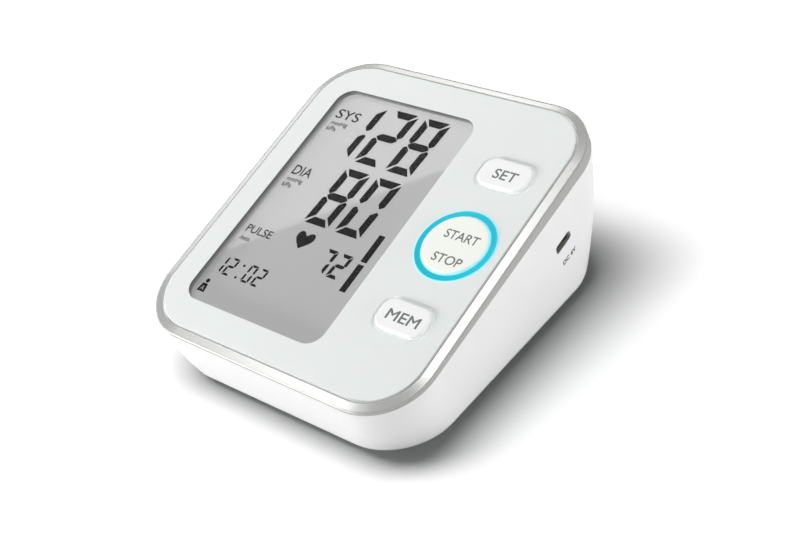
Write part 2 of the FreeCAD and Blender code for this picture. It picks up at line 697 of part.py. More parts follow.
def trim_ring():
    """Silver frame clamped between panel and lower case: sloping bevel, outer band, ledge and tongue."""
    deep = -PARTING_DEPTH - BODY_LENGTH * math.tan(math.radians(PARTING_WEDGE)) - 2 * TONGUE_DEPTH
    body = slab(BODY_WIDTH, BODY_LENGTH, BODY_CORNER, deep, -CREST_DROP)
    inner_width = PANEL_WIDTH + 2 * PANEL_GAP
    inner_length = PANEL_LENGTH + 2 * PANEL_GAP
    inner_corner = PANEL_CORNER + PANEL_GAP
    bevel = Part.makeLoft([outline(BODY_WIDTH, BODY_LENGTH, BODY_CORNER, -CREST_DROP),
                           outline(inner_width, inner_length, inner_corner, -TRIM_TOP_DROP)], True, True)
    body = rounded(body.fuse(bevel).removeSplitter(), CREST_ROUND, flat_at(-CREST_DROP))
    opening = slab(PANEL_WIDTH - 2 * LEDGE, PANEL_LENGTH - 2 * LEDGE, PANEL_CORNER - LEDGE, deep - 1, 1)
    pocket = slab(inner_width, inner_length, inner_corner, -PANEL_THICKNESS, 1)
    body = in_face(body.cut([opening, pocket]))
    side = WALL + TONGUE_CLEARANCE
    stretch = 1 / math.cos(math.radians(PARTING_WEDGE))
    below = in_parting(box(BIG, BIG, -BIG, 0))
    edge = outline(BODY_WIDTH - 2 * side, BODY_LENGTH * stretch - 2 * side, BODY_CORNER - side)
    tongue = in_parting(Part.Face(edge)).extrude(vec(0, 0, -TONGUE_DEPTH))
    return body.cut(below.cut(tongue))


def screw_bosses():
    """Posts under the panel for the case screws, straight down."""
    posts = []
    for x, y, low in screw_places():
        post = disc(SCREW_BOSS_RADIUS, low, low + SCREW_JOIN, x, y)
        hole_top = low + SCREW_LENGTH - SCREW_SHELF + 1
        posts.append(post.cut(disc(SCREW_RADIUS + SEAT_GAP, low - 1, hole_top, x, y)))
    return posts


def board_screw_places():
    """Places of the board's screws, in the face frame."""
    frame_edge = WINDOW_X + WINDOW_WIDTH / 2 + LENS_BORDER + FIT + FRAME_WALL
    inner_x = frame_edge + BOARD_BOSS_RADIUS + 2 * FIT
    outer_x = PANEL_WIDTH / 2 - LEDGE - FIT - SKIRT_THICKNESS - BOARD_BOSS_RADIUS - BOARD_BOSS_SIDE
    end_y = PANEL_LENGTH / 2 - LEDGE - FIT - SKIRT_THICKNESS - BOARD_BOSS_RADIUS - BOARD_BOSS_END
    side_y = RING_OUTER + GUIDE_FLANGE + BOARD_BOSS_RADIUS
    return [(inner_x, end_y), (inner_x, -end_y), (outer_x, START_Y + side_y), (outer_x, START_Y - side_y)]


def snap_hook(y):
    """Tongue under the skirt's left side whose nose goes under a catch of the lower case."""
    outer = PANEL_WIDTH / 2 - LEDGE - FIT
    top = -PANEL_THICKNESS - SKIRT_DEPTH
    low = top - HOOK_REACH
    arm = Part.makeBox(SKIRT_THICKNESS, HOOK_WIDTH, HOOK_REACH + 1, vec(-outer, y - HOOK_WIDTH / 2, low))
    edge = y - HOOK_WIDTH / 2
    corners = [vec(-outer, edge, low),
               vec(-outer, edge, low + HOOK_NOSE),
               vec(-outer - HOOK_NOSE, edge, low + HOOK_NOSE)]
    return arm.fuse(prism(corners, vec(0, HOOK_WIDTH, 0)))


def key_opening(y):
    """Dished recess and hole for one of the oblong keys."""
    hole_w = KEY_WIDTH + 2 * KEY_GAP
    hole_l = KEY_LENGTH + 2 * KEY_GAP
    corner = KEY_CORNER + KEY_GAP
    hole = slab(hole_w, hole_l, corner, -PANEL_THICKNESS - 1, 1, KEY_X, y)
    bottom = outline(hole_w, hole_l, corner, -DISH_DEPTH, KEY_X, y)
    wider = 2 * DISH_WIDTH
    top = outline(hole_w + wider, hole_l + wider, corner + DISH_WIDTH, 0.0, KEY_X, y)
    return hole.fuse(Part.makeLoft([bottom, top], True, True))


def board_posts():
    """Posts under the panel for the board's screws, in the face frame."""
    hole_top = -BOARD_DEPTH + BOARD_SCREW_LENGTH - BOARD_THICKNESS + BOARD_SCREW_SPARE
    posts = []
    for x, y in board_screw_places():
        post = disc(BOARD_BOSS_RADIUS, -BOARD_DEPTH, -PANEL_THICKNESS / 2, x, y)
        posts.append(post.cut(disc(BOARD_SCREW_RADIUS + SEAT_GAP, -BOARD_DEPTH - 1, hole_top, x, y)))
    return posts


def face_panel():
    """White upper case: sloping panel with window and key openings, skirt, posts and snap hooks."""
    plate = slab(PANEL_WIDTH, PANEL_LENGTH, PANEL_CORNER, -PANEL_THICKNESS, 0)
    plate = rounded(plate, PANEL_EDGE_ROUND, flat_at(0))
    outer = LEDGE + FIT
    inner = outer + SKIRT_THICKNESS
    skirt = slab(PANEL_WIDTH - 2 * outer, PANEL_LENGTH - 2 * outer, PANEL_CORNER - outer,
                 -PANEL_THICKNESS - SKIRT_DEPTH, -PANEL_THICKNESS / 2)
    skirt = skirt.cut(slab(PANEL_WIDTH - 2 * inner, PANEL_LENGTH - 2 * inner, PANEL_CORNER - inner,
                           -PANEL_THICKNESS - SKIRT_DEPTH - 1, 0))
    guide_edge = RING_OUTER + GUIDE_FLANGE + 2 * FIT
    guide_room = disc(guide_edge, -BIG, -PANEL_THICKNESS, KEY_X, START_Y)
    guide_gap = box(guide_edge, guide_edge, -BIG, -PANEL_THICKNESS, KEY_X + guide_edge, START_Y)
    skirt = skirt.cut([guide_room, guide_gap])
    body = fused([plate, skirt] + board_posts() + [snap_hook(y) for y in hook_places()])
    window = window_slab(0.0, WINDOW_CORNER, -PANEL_THICKNESS - 1, 1)
    ring_hole = disc(RING_OUTER + SEAT_GAP, -PANEL_THICKNESS - 1, 1, KEY_X, START_Y)
    keys = [key_opening(START_Y + side * KEY_PITCH) for side in (-1, 1)]
    body = in_face(body.cut([window, ring_hole] + keys))
    under_plate = in_face(box(BIG, BIG, -BIG, -PANEL_THICKNESS / 2))
    return fused([body] + [post.common(under_plate) for post in screw_bosses()])


# ---- display ----------------------------------------------------------------------------------------

def window_slab(border, corner, low, high, shorter=0.0, narrower=0.0):
    """Slab as large as the window plus a border, in the face frame."""
    width = WINDOW_WIDTH + 2 * border - narrower
    length = WINDOW_LENGTH + 2 * border - shorter
    return slab(width, length, corner, low, high, WINDOW_X, WINDOW_Y)


def display_lens():
    """Clear plate glued behind the window."""
    lens_low = -PANEL_THICKNESS - LENS_THICKNESS
    return in_face(window_slab(LENS_BORDER, WINDOW_CORNER, lens_low, -PANEL_THICKNESS))


def glass_top():
    """Top of the liquid crystal glass in the face frame."""
    return -PANEL_THICKNESS - LENS_THICKNESS - GLASS_GAP


def lcd_glass():
    """Liquid crystal glass."""
    return in_face(window_slab(LENS_BORDER, GLASS_CORNER, glass_top() - GLASS_THICKNESS, glass_top()))


def lcd_reflector():
    """Pale sheet behind the glass, short enough to leave the contact strips free."""
    low = glass_top() - GLASS_THICKNESS - REFLECTOR_THICKNESS
    shorter = 2 * (STRIP_EDGE + STRIP_WIDTH + 2 * FIT)
    return in_face(window_slab(LENS_BORDER, GLASS_CORNER, low, low + REFLECTOR_THICKNESS, shorter))


def lcd_frame():
    """Tray that holds lens, glass and reflector between the panel and the board."""
    room = LENS_BORDER + FIT
    ledge_top = glass_top() - GLASS_THICKNESS - REFLECTOR_THICKNESS
    body = window_slab(room + FRAME_WALL, GLASS_CORNER + FRAME_WALL, -BOARD_DEPTH, -PANEL_THICKNESS)
    pocket = window_slab(room, GLASS_CORNER, ledge_top, 0)
    under = window_slab(room, GLASS_CORNER, -BOARD_DEPTH - 1, ledge_top - FRAME_LEDGE_THICKNESS)
    through = window_slab(room, GLASS_CORNER, -BOARD_DEPTH - 1, 0, 0.0, 2 * FRAME_LEDGE)
    return in_face(body.cut([pocket, under, through]))


def contact_strips():
    """Rubber strips that join the glass to the board, one at each end."""
    high = glass_top() - GLASS_THICKNESS
    reach = WINDOW_LENGTH / 2 + LENS_BORDER - STRIP_EDGE - STRIP_WIDTH / 2
    strips = []
    for side in (-1, 1):
        y = WINDOW_Y + side * reach
        strips.append(in_face(box(STRIP_LENGTH, STRIP_WIDTH, -BOARD_DEPTH, high, WINDOW_X, y)))
    return group(strips)


# ---- main board -------------------------------------------------------------------------------------

def main_board():
    """Circuit board under the face."""
    inset = 2 * (LEDGE + FIT + SKIRT_THICKNESS + BOARD_GAP)
    corner = PANEL_CORNER - inset / 2
    board = slab(PANEL_WIDTH - inset, PANEL_LENGTH - inset, corner, BOARD_BOTTOM, -BOARD_DEPTH)
    holes = [disc(BOARD_SCREW_RADIUS + SEAT_GAP, -BIG, 0, x, y) for x, y in board_screw_places()]
    board = in_face(board.cut(holes))
    room = [disc(SCREW_BOSS_RADIUS + 2 * FIT, 0, BIG, x, y) for x, y, _ in screw_places()]
    return board.cut(room)


def board_screws():
    """Screws up through the board into the panel's posts."""
    screws = []
    low = BOARD_BOTTOM - BOARD_HEAD_HEIGHT
    for x, y in board_screw_places():
        head = disc(BOARD_HEAD_RADIUS, low, BOARD_BOTTOM, x, y)
        slot = box(2 * BOARD_HEAD_RADIUS, 0.5, low, low + BOARD_HEAD_HEIGHT / 2, x, y)
        shank = disc(BOARD_SCREW_RADIUS, BOARD_BOTTOM, BOARD_BOTTOM + BOARD_SCREW_LENGTH, x, y)
        screws.append(in_face(head.cut(slot).fuse(shank)))
    return group(screws)


def processor():
    """Flat square chip with a row of legs on each side, under the board."""
    leg_width = 0.4
    leg_pitch = 1.6
    leg_reach = 1.0
    leg_count = int((PROCESSOR_SIZE - leg_pitch) / leg_pitch)
    low = BOARD_BOTTOM - PROCESSOR_HEIGHT
    parts = [box(PROCESSOR_SIZE, PROCESSOR_SIZE, low, BOARD_BOTTOM - 0.1, PROCESSOR_X, PROCESSOR_Y)]
    span = PROCESSOR_SIZE + 2 * leg_reach
    leg_low = BOARD_BOTTOM - leg_width
    for i in range(leg_count):
        offset = (i - (leg_count - 1) / 2) * leg_pitch
        parts.append(box(span, leg_width, leg_low, BOARD_BOTTOM, PROCESSOR_X, PROCESSOR_Y + offset))
        parts.append(box(leg_width, span, leg_low, BOARD_BOTTOM, PROCESSOR_X + offset, PROCESSOR_Y))
    return in_face(fused(parts))


def board_chips():
    """Row of small capacitors and resistors beside the processor."""
    chips = []
    y = PROCESSOR_Y - PROCESSOR_SIZE / 2 - 2 * CHIP_LENGTH
    for i in range(CHIP_COUNT):
        x = PROCESSOR_X + (i - (CHIP_COUNT - 1) / 2) * CHIP_PITCH
        chip = box(CHIP_WIDTH, CHIP_LENGTH, BOARD_BOTTOM - CHIP_HEIGHT, BOARD_BOTTOM, x, y)
        chips.append(in_face(chip))
    return group(chips)


def buzzer():
    """Round sounder under the board with its sound hole."""
    low = BOARD_BOTTOM - BUZZER_HEIGHT
    can = disc(BUZZER_RADIUS, low, BOARD_BOTTOM, BUZZER_X, BUZZER_Y)
    return in_face(can.cut(disc(BUZZER_HOLE, low - 1, low + BUZZER_HEIGHT / 2, BUZZER_X, BUZZER_Y)))


# ---- keys -------------------------------------------------------------------------------------------

def oblong_key(y):
    """Oblong key: hollow cap, flange under the panel and a stem down to its switch."""
    low = -PANEL_THICKNESS - KEY_FLANGE_THICKNESS

    def grown(by, bottom, top):
        return slab(KEY_WIDTH + 2 * by, KEY_LENGTH + 2 * by, KEY_CORNER + by, bottom, top, KEY_X, y)

    cap = rounded(grown(0.0, low, KEY_RISE), KEY_EDGE_ROUND, flat_at(KEY_RISE))
    flange = grown(KEY_GAP + KEY_FLANGE, low, -PANEL_THICKNESS)
    hollow = grown(-KEY_WALL, -BIG / 8, KEY_RISE - KEY_TOP)
    stem = disc(STEM_RADIUS, PLUNGER_TOP, KEY_RISE - KEY_TOP / 2, KEY_X, y)
    return in_face(fused([cap.fuse(flange).cut(hollow), stem]))


def start_key():
    """Round key inside the light ring."""
    flange_top = -RING_LIP
    flange_low = flange_top - KEY_FLANGE_THICKNESS
    cap = disc(START_RADIUS, flange_low, KEY_RISE, KEY_X, START_Y)
    cap = rounded(cap, KEY_EDGE_ROUND, flat_at(KEY_RISE))
    guide_inner = RING_OUTER + GUIDE_FLANGE - GUIDE_WALL
    flange = disc(guide_inner - KEY_GAP, flange_low, flange_top, KEY_X, START_Y)
    hollow = disc(START_RADIUS - KEY_WALL, -BIG / 8, KEY_RISE - KEY_TOP, KEY_X, START_Y)
    stem = disc(STEM_RADIUS, PLUNGER_TOP, KEY_RISE - KEY_TOP / 2, KEY_X, START_Y)
    return in_face(fused([cap.fuse(flange).cut(hollow), stem]))


def light_ring():
    """Clear blue ring round the start key, with the guide that leads the light up to it."""
    outer = RING_OUTER + GUIDE_FLANGE
    lip = disc(RING_OUTER, -RING_LIP, RING_RISE, KEY_X, START_Y)
    guide = disc(outer, -GUIDE_DEPTH, -PANEL_THICKNESS, KEY_X, START_Y)
    body = fused([lip, guide])
    bore = disc(RING_INNER, -BIG / 8, 1, KEY_X, START_Y)
    room = disc(outer - GUIDE_WALL, -BIG / 8, -RING_LIP, KEY_X, START_Y)
    return in_face(body.cut([bore, room]))


def ring_leds():
    """Small lamps on the board under the light guide."""
    radius = RING_OUTER + GUIDE_FLANGE - GUIDE_WALL / 2
    lamps = []
    for i in range(LED_COUNT):
        angle = 45 + i * 360 / LED_COUNT
        lamp = box(LED_WIDTH, LED_LENGTH, -BOARD_DEPTH, -BOARD_DEPTH + LED_HEIGHT, radius, 0)
        lamps.append(in_face(lamp.rotated(ORIGIN, Z_AXIS, angle).translated(vec(KEY_X, START_Y, 0))))
    return group(lamps)


def key_rows():
    """Y of the three keys in the face frame: memory, start, set."""
    return [START_Y - KEY_PITCH, START_Y, START_Y + KEY_PITCH]


def key_switches():
    """Square switch bodies on the board, each with a bore for its plunger."""
    bodies = []
    for y in key_rows():
        high = -BOARD_DEPTH + SWITCH_HEIGHT
        body = box(SWITCH_SIZE, SWITCH_SIZE, -BOARD_DEPTH, high, KEY_X, y)
        bore = disc(PLUNGER_RADIUS + SLIDE_FIT, -BOARD_DEPTH + SWITCH_FLOOR, high + 1, KEY_X, y)
        bodies.append(in_face(body.cut(bore)))
    return group(bodies)


def plunger(y):
    """Moving pin of one switch, under its key's stem."""
    return in_face(disc(PLUNGER_RADIUS, PLUNGER_TOP - PLUNGER_LENGTH, PLUNGER_TOP, KEY_X, y))


# ---- batteries --------------------------------------------------------------------------------------

def battery_door():
    """Plate over the bay: two tabs at the rear edge to hinge on, a springy latch at the front."""
    width = BAY_WIDTH - 2 * DOOR_GAP
    length = BAY_LENGTH - 2 * DOOR_GAP
    plate = box(width, length, BASE_Z, DOOR_TOP, 0, BAY_Y)
    rear = BAY_Y + length / 2
    front = BAY_Y - length / 2
    tab_low = FLOOR_Z + TAB_LIFT
    tabs = []
    for x in tab_places():
        tabs.append(box(TAB_WIDTH, TAB_ROOT, BASE_Z, tab_low + TAB_THICKNESS, x, rear - TAB_ROOT / 2))
        tabs.append(box(TAB_WIDTH, TAB_ROOT + TAB_REACH, tab_low, tab_low + TAB_THICKNESS, x,
                        rear - TAB_ROOT + (TAB_ROOT + TAB_REACH) / 2))
    slit = box(LATCH_SLIT, LATCH_LENGTH, BASE_Z - 1, DOOR_TOP + 1, 0, front + LATCH_LENGTH / 2)
    slits = [slit.translated(vec(side * LATCH_WIDTH / 2, 0, 0)) for side in (-1, 1)]
    grips = []
    for i in range(GRIP_COUNT):
        y = front + LATCH_LENGTH + 1 + i * GRIP_PITCH
        grips.append(box(LATCH_WIDTH, GRIP_PITCH / 2, BASE_Z - 1, BASE_Z + GRIP_DEPTH, 0, y))
    return fused([plate] + tabs).cut(slits + grips)


def cells():
    """Four pencil cells, each turned against its neighbour."""
    made = []
    for x, way in cell_places():
        start = BAY_Y - way * CELL_LENGTH / 2
        shoulder = start + way * (CELL_LENGTH - CELL_NUB_HEIGHT)
        can = rod(CELL_RADIUS, vec(x, start, CELL_Z), vec(x, shoulder, CELL_Z))
        can = can.makeFillet(CELL_ROUND, [edge for edge in can.Edges if len(edge.Vertexes) == 1])
        nub_end = shoulder + way * CELL_NUB_HEIGHT
        nub = rod(CELL_NUB_RADIUS, vec(x, shoulder - way, CELL_Z), vec(x, nub_end, CELL_Z))
        made.append(can.fuse(nub).removeSplitter())
    return group(made)


def lug_places():
    """X of the two contact lugs that pass the bay's roof."""
    places = [x for x, _ in cell_places()]
    return [places[0], places[-1]]


def contact_plates():
    """Thin plates on the bay's end walls: single ones with lugs for the leads, double ones between cells."""
    plates = []
    places = [x for x, _ in cell_places()]
    high = CELL_Z + CONTACT_HEIGHT / 2
    for side, pairs in ((1, [places[0:1], places[1:3], places[3:4]]), (-1, [places[0:2], places[2:4]])):
        y = BAY_Y + side * (BAY_LENGTH / 2 - CONTACT_THICKNESS / 2)
        for pair in pairs:
            middle = sum(pair) / len(pair)
            width = CONTACT_WIDTH + (pair[-1] - pair[0])
            plate = box(width, CONTACT_THICKNESS, CELL_Z - CONTACT_HEIGHT / 2, high, middle, y)
            if len(pair) == 1:
                lug = box(LUG_WIDTH, CONTACT_THICKNESS, high - 1, BAY_ROOF + BAY_WALL + LUG_RISE, middle, y)
                plate = fused([plate, lug])
            plates.append(plate)
    return group(plates)


def contact_springs():
    """Coil spring behind the flat end of each cell."""
    springs = []
    reach = CELL_END_GAP - CONTACT_THICKNESS - 2 * SEAT_GAP - SPRING_WIRE
    for x, way in cell_places():
        helix = Part.makeHelix(reach / SPRING_TURNS, reach, SPRING_RADIUS)
        start = vec(SPRING_RADIUS, 0, 0)
        section = Part.Wire([Part.Circle(start, Y_AXIS, SPRING_WIRE / 2).toShape()])
        coil = Part.Wire(helix.Edges).makePipeShell([section], True, True)
        coil = coil.translated(vec(0, 0, -reach / 2)).rotated(ORIGIN, X_AXIS, 90)
        y = BAY_Y - way * (CELL_LENGTH / 2 + SEAT_GAP + SPRING_WIRE / 2 + reach / 2)
        springs.append(coil.translated(vec(x, y, CELL_Z)))
    return group(springs)


# ---- pump -------------------------------------------------------------------------------------------

def pump_point(x):
    """A point on the pump's axis."""
    return vec(x, PUMP_Y, PUMP_Z)


def motor_can():
    """Steel can of the motor, open at the far end."""
    far = PUMP_X + MOTOR_LENGTH
    can = rod(PUMP_RADIUS, pump_point(PUMP_X), pump_point(far))
    space = rod(PUMP_RADIUS - MOTOR_WALL, pump_point(PUMP_X + MOTOR_WALL), pump_point(far + 1))
    return can.cut([space, rod(SHAFT_RADIUS + SEAT_GAP, pump_point(PUMP_X - 1), pump_point(far))])


def motor_cap():
    """Plastic end of the motor with its two terminals."""
    far = PUMP_X + MOTOR_LENGTH
    plate = rod(PUMP_RADIUS, pump_point(far), pump_point(far + MOTOR_CAP_LENGTH))
    bearing = rod(SHAFT_RADIUS + SEAT_GAP, pump_point(far - 1), pump_point(far + MOTOR_CAP_LENGTH / 2))
    return plate.cut(bearing)


def motor_rotor():
    """Shaft with armature and the pump's cam."""
    far = PUMP_X + MOTOR_LENGTH
    near = PUMP_X - HEAD_LENGTH + 2
    shaft = rod(SHAFT_RADIUS, pump_point(near), pump_point(far + MOTOR_CAP_LENGTH / 2 - 2 * SEAT_GAP))
    middle = PUMP_X + MOTOR_LENGTH / 2
    half = ARMATURE_LENGTH / 2
    armature = rod(ARMATURE_RADIUS, pump_point(middle - half), pump_point(middle + half))
    cam_start = pump_point(near).add(vec(0, 0, CAM_OFFSET))
    cam = rod(CAM_RADIUS, cam_start, cam_start.add(vec(CAM_LENGTH, 0, 0)))
    return fused([shaft, armature, cam])


def pump_head():
    """Housing of the cam, screwed to the motor."""
    near = PUMP_X - HEAD_LENGTH
    body = rod(PUMP_RADIUS, pump_point(near), pump_point(PUMP_X))
    space = rod(HEAD_BORE, pump_point(near - 1), pump_point(PUMP_X - HEAD_END))
    return body.cut([space, rod(SHAFT_RADIUS + HEAD_SHAFT_GAP, pump_point(near), pump_point(PUMP_X + 1))])


def pump_diaphragm():
    """Rubber sheet between head and cover."""
    near = COVER_X + COVER_LENGTH
    return rod(PUMP_RADIUS, pump_point(near), pump_point(near + DIAPHRAGM_THICKNESS))


def pump_cover():
    """Outlet end of the pump, with its barb in line with the manifold."""
    far = COVER_X + COVER_LENGTH
    body = rod(PUMP_RADIUS, pump_point(COVER_X), pump_point(far))
    barb_end = vec(COVER_X - BARB_LENGTH, AIR_Y, AIR_Z)
    barb = rod(BARB_RADIUS, barb_end, vec(COVER_X + 1, AIR_Y, AIR_Z))
    passage = rod(BARB_BORE, barb_end.sub(vec(1, 0, 0)), vec(far - 2, AIR_Y, AIR_Z))
    return body.fuse(barb).removeSplitter().cut(passage)


def pump_rings():
    """Rubber rings round the pump, in the cradles."""
    rings = []
    for x in CRADLES:
        start = pump_point(x - PUMP_RING_WIDTH / 2)
        end = pump_point(x + PUMP_RING_WIDTH / 2)
        rings.append(pipe_piece(PUMP_RADIUS + PUMP_RING_WALL - SEAT_GAP, PUMP_RADIUS + SEAT_GAP, start, end))
    return group(rings)


def pump_straps():
    """Sheet metal arch over each ring, standing on the cradle's shoulders."""
    straps = []
    inner = PUMP_SEAT
    for x in CRADLES:
        start = pump_point(x - CRADLE_WIDTH / 2)
        end = pump_point(x + CRADLE_WIDTH / 2)
        arch = pipe_piece(inner + STRAP_THICKNESS, inner, start, end)
        arch = arch.cut(box(BIG, BIG, -BIG, PUMP_Z))
        ear = box(CRADLE_WIDTH, CRADLE_MARGIN, PUMP_Z, PUMP_Z + STRAP_THICKNESS, x, PUMP_Y)
        reach = inner + CRADLE_MARGIN / 2
        straps.append(fused([arch] + [ear.translated(vec(0, side * reach, 0)) for side in (-1, 1)]))
    return group(straps)


# ---- air path ---------------------------------------------------------------------------------------

def air_socket():
    """Socket in the left wall for the cuff's air plug, with a barb inside."""
    face = -SOCKET_SEAT - SOCKET_FLANGE
    flange = rod(SOCKET_FLANGE_RADIUS, vec(face, AIR_Y, AIR_Z), vec(-SOCKET_SEAT, AIR_Y, AIR_Z))
    flange = flange.makeFillet(0.5, [edge for edge in flange.Edges if edge.BoundBox.XMax < face + 0.01])
    end = face + SOCKET_LENGTH
    sleeve = rod(SOCKET_RADIUS, vec(face + 1, AIR_Y, AIR_Z), vec(end, AIR_Y, AIR_Z))
    barb = rod(BARB_RADIUS, vec(end - 1, AIR_Y, AIR_Z), vec(end + BARB_LENGTH, AIR_Y, AIR_Z))
    bore = rod(SOCKET_BORE, vec(face - 1, AIR_Y, AIR_Z), vec(face + SOCKET_BORE_DEPTH, AIR_Y, AIR_Z))
    passage = rod(BARB_BORE, vec(face, AIR_Y, AIR_Z), vec(end + BARB_LENGTH + 1, AIR_Y, AIR_Z))
    return fused([flange, sleeve, barb]).cut([bore, passage])


def socket_nut():
    """Six-sided nut that clamps the socket to the wall."""
    start = -SOCKET_SEAT + SOCKET_PAD
    corners = []
    for angle in range(0, 360, 60):
        turn = math.radians(angle)
        across = SOCKET_NUT_RADIUS * math.cos(turn)
        corners.append(vec(start, AIR_Y + across, AIR_Z + SOCKET_NUT_RADIUS * math.sin(turn)))
    block = prism(corners, vec(SOCKET_NUT_LENGTH, 0, 0))
    end = start + 2 * SOCKET_NUT_LENGTH
    return block.cut(rod(SOCKET_RADIUS + SEAT_GAP, vec(start - 1, AIR_Y, AIR_Z), vec(end, AIR_Y, AIR_Z)))


def manifold_middle():
    """Middle of the air manifold."""
    return vec(MANIFOLD_X, AIR_Y, AIR_Z)


def air_manifold():
    """Four-way joint: socket to the left, pump to the right, valve to the front, sensor upwards."""
    middle = manifold_middle()
    half = MANIFOLD_SIZE / 2
    block = box(MANIFOLD_SIZE, MANIFOLD_SIZE, AIR_Z - half, AIR_Z + half, MANIFOLD_X, AIR_Y)
    ways = [vec(-1, 0, 0), vec(1, 0, 0), vec(0, -1, 0), vec(0, 0, 1)]
    reach = half + BARB_LENGTH
    barbs = [rod(BARB_RADIUS, middle, middle.add(FreeCAD.Vector(way).multiply(reach))) for way in ways]
    bores = [rod(BARB_BORE, middle, middle.add(FreeCAD.Vector(way).multiply(reach + 1))) for way in ways]
    return fused([block] + barbs).cut(bores)


def straight_tube(start_x, end_x):
    """Short air tube over two barbs that face each other along X."""
    return pipe_piece(TUBE_OUTER, TUBE_INNER, vec(start_x, AIR_Y, AIR_Z), vec(end_x, AIR_Y, AIR_Z))


def socket_tube():
    """Air tube from the socket to the manifold."""
    start = -SOCKET_SEAT - SOCKET_FLANGE + SOCKET_LENGTH
    return straight_tube(start + SEAT_GAP, MANIFOLD_X - MANIFOLD_SIZE / 2 - SEAT_GAP)


def pump_tube():
    """Air tube from the manifold to the pump."""
    return straight_tube(MANIFOLD_X + MANIFOLD_SIZE / 2 + SEAT_GAP, COVER_X - SEAT_GAP)


def bent_tube(route):
    """Air tube along a bent route."""
    return swept(route, TUBE_OUTER).cut(swept(route, TUBE_INNER))


def sensor_route():
    """Route from the manifold's top port to the pressure sensor's port."""
    start = manifold_middle().add(vec(0, 0, MANIFOLD_SIZE / 2 + SEAT_GAP))
    end = face_point(MANIFOLD_X, sensor_face_y(), BOARD_BOTTOM - SENSOR_HEIGHT - SEAT_GAP)
    axis = face_point(0, 0, 1).sub(face_point(0, 0, 0))
    climb = (start.y - end.y) / axis.y
    corner = end.add(FreeCAD.Vector(axis).multiply(climb))
    return [start, corner, end]


def sensor_face_y():
    """Y of the sensor in the face frame, so that its port's axis meets the manifold's halfway up."""
    low = manifold_middle().z + MANIFOLD_SIZE / 2
    high = face_point(0, AIR_Y + SENSOR_BACK, BOARD_BOTTOM - SENSOR_HEIGHT).z
    halfway = (low + high) / 2
    slope = math.radians(FACE_TILT)
    depth = (halfway - FACE_HEIGHT - (AIR_Y - FACE_Y) * math.tan(slope)) * math.cos(slope)
    return (AIR_Y - FACE_Y + depth * math.sin(slope)) / math.cos(slope)


def sensor_tube():
    """Air tube from the manifold up to the pressure sensor."""
    return bent_tube(sensor_route())


def pressure_sensor():
    """Square sensor under the board with a port pointing down."""
    y = sensor_face_y()
    low = BOARD_BOTTOM - SENSOR_HEIGHT
    body = box(SENSOR_SIZE, SENSOR_SIZE, low, BOARD_BOTTOM, MANIFOLD_X, y)
    port_length = BARB_LENGTH * 0.6
    port = disc(BARB_RADIUS, low - port_length, low + 1, MANIFOLD_X, y)
    bore = disc(BARB_BORE, low - port_length - 1, low + 2, MANIFOLD_X, y)
    return in_face(fused([body, port]).cut(bore))


def valve_axis_z():
    """Height of the valve's axis."""
    return FLOOR_Z + VALVE_SADDLE + VALVE_HEIGHT / 2


def valve_point(y):
    """A point on the valve's axis, from its middle."""
    return vec(VALVE_X, VALVE_Y + y, valve_axis_z())


def valve_tube():
    """Air tube from the manifold's front port down to the valve."""
    start = manifold_middle().sub(vec(0, MANIFOLD_SIZE / 2 + SEAT_GAP, 0))
    end = valve_point(VALVE_LENGTH / 2 + NOZZLE_LENGTH + SEAT_GAP)
    straight = vec(0, BARB_LENGTH + 1.2, 0)
    return bent_tube([start, start.sub(straight), end.add(straight), end])


def valve_yoke():
    """Steel bracket round the coil: two end plates and a back."""
    low = FLOOR_Z + VALVE_SADDLE
    plate = box(VALVE_WIDTH, VALVE_PLATE, low, low + VALVE_HEIGHT, VALVE_X, VALVE_Y)
    reach = (VALVE_LENGTH - VALVE_PLATE) / 2
    ends = [plate.translated(vec(0, side * reach, 0)) for side in (-1, 1)]
    back = box(VALVE_WIDTH, VALVE_LENGTH, low, low + VALVE_PLATE / 2, VALVE_X, VALVE_Y)
    bore = rod(VALVE_PLUNGER_RADIUS + SLIDE_FIT, valve_point(0), valve_point(VALVE_LENGTH))
    return fused(ends + [back]).cut(bore)


def coil_length():
    """Length of the valve's coil between the yoke's plates."""
    return VALVE_LENGTH - 2 * VALVE_PLATE


def valve_coil():
    """Winding on its bobbin."""
    half = coil_length() / 2
    parts = [rod(COIL_RADIUS - COIL_STEP, valve_point(-half), valve_point(half)),
             rod(COIL_RADIUS, valve_point(-half), valve_point(-half + COIL_FLANGE)),
             rod(COIL_RADIUS, valve_point(half - COIL_FLANGE), valve_point(half))]
    return fused(parts).cut(rod(COIL_BORE, valve_point(-half + 2), valve_point(half + 1)))


def valve_plunger():
    """Sliding iron core with the rubber pad that shuts the nozzle."""
    end = coil_length() / 2 + VALVE_PLATE
    return rod(VALVE_PLUNGER_RADIUS, valve_point(end - VALVE_PLUNGER_LENGTH), valve_point(end))


def valve_nozzle():
    """Plastic end of the valve with its barb and vent."""
    start = VALVE_LENGTH / 2
    body = rod(NOZZLE_RADIUS, valve_point(start), valve_point(start + NOZZLE_LENGTH))
    barb = rod(BARB_RADIUS, valve_point(start + 1), valve_point(start + NOZZLE_LENGTH + BARB_LENGTH))
    bore = rod(BARB_BORE, valve_point(start - 1), valve_point(start + NOZZLE_LENGTH + BARB_LENGTH + 1))
    return fused([body, barb]).cut(bore)


# ---- power inlet ------------------------------------------------------------------------------------

def flat_bar(width, height, start, length):
    """Rounded bar along X in the inlet's frame."""
    bar = slab(width, height, height * 0.35, 0, length)
    bar = bar.rotated(ORIGIN, Z_AXIS, 90).rotated(ORIGIN, Y_AXIS, 90)
    return bar.translated(vec(start, 0, 0))


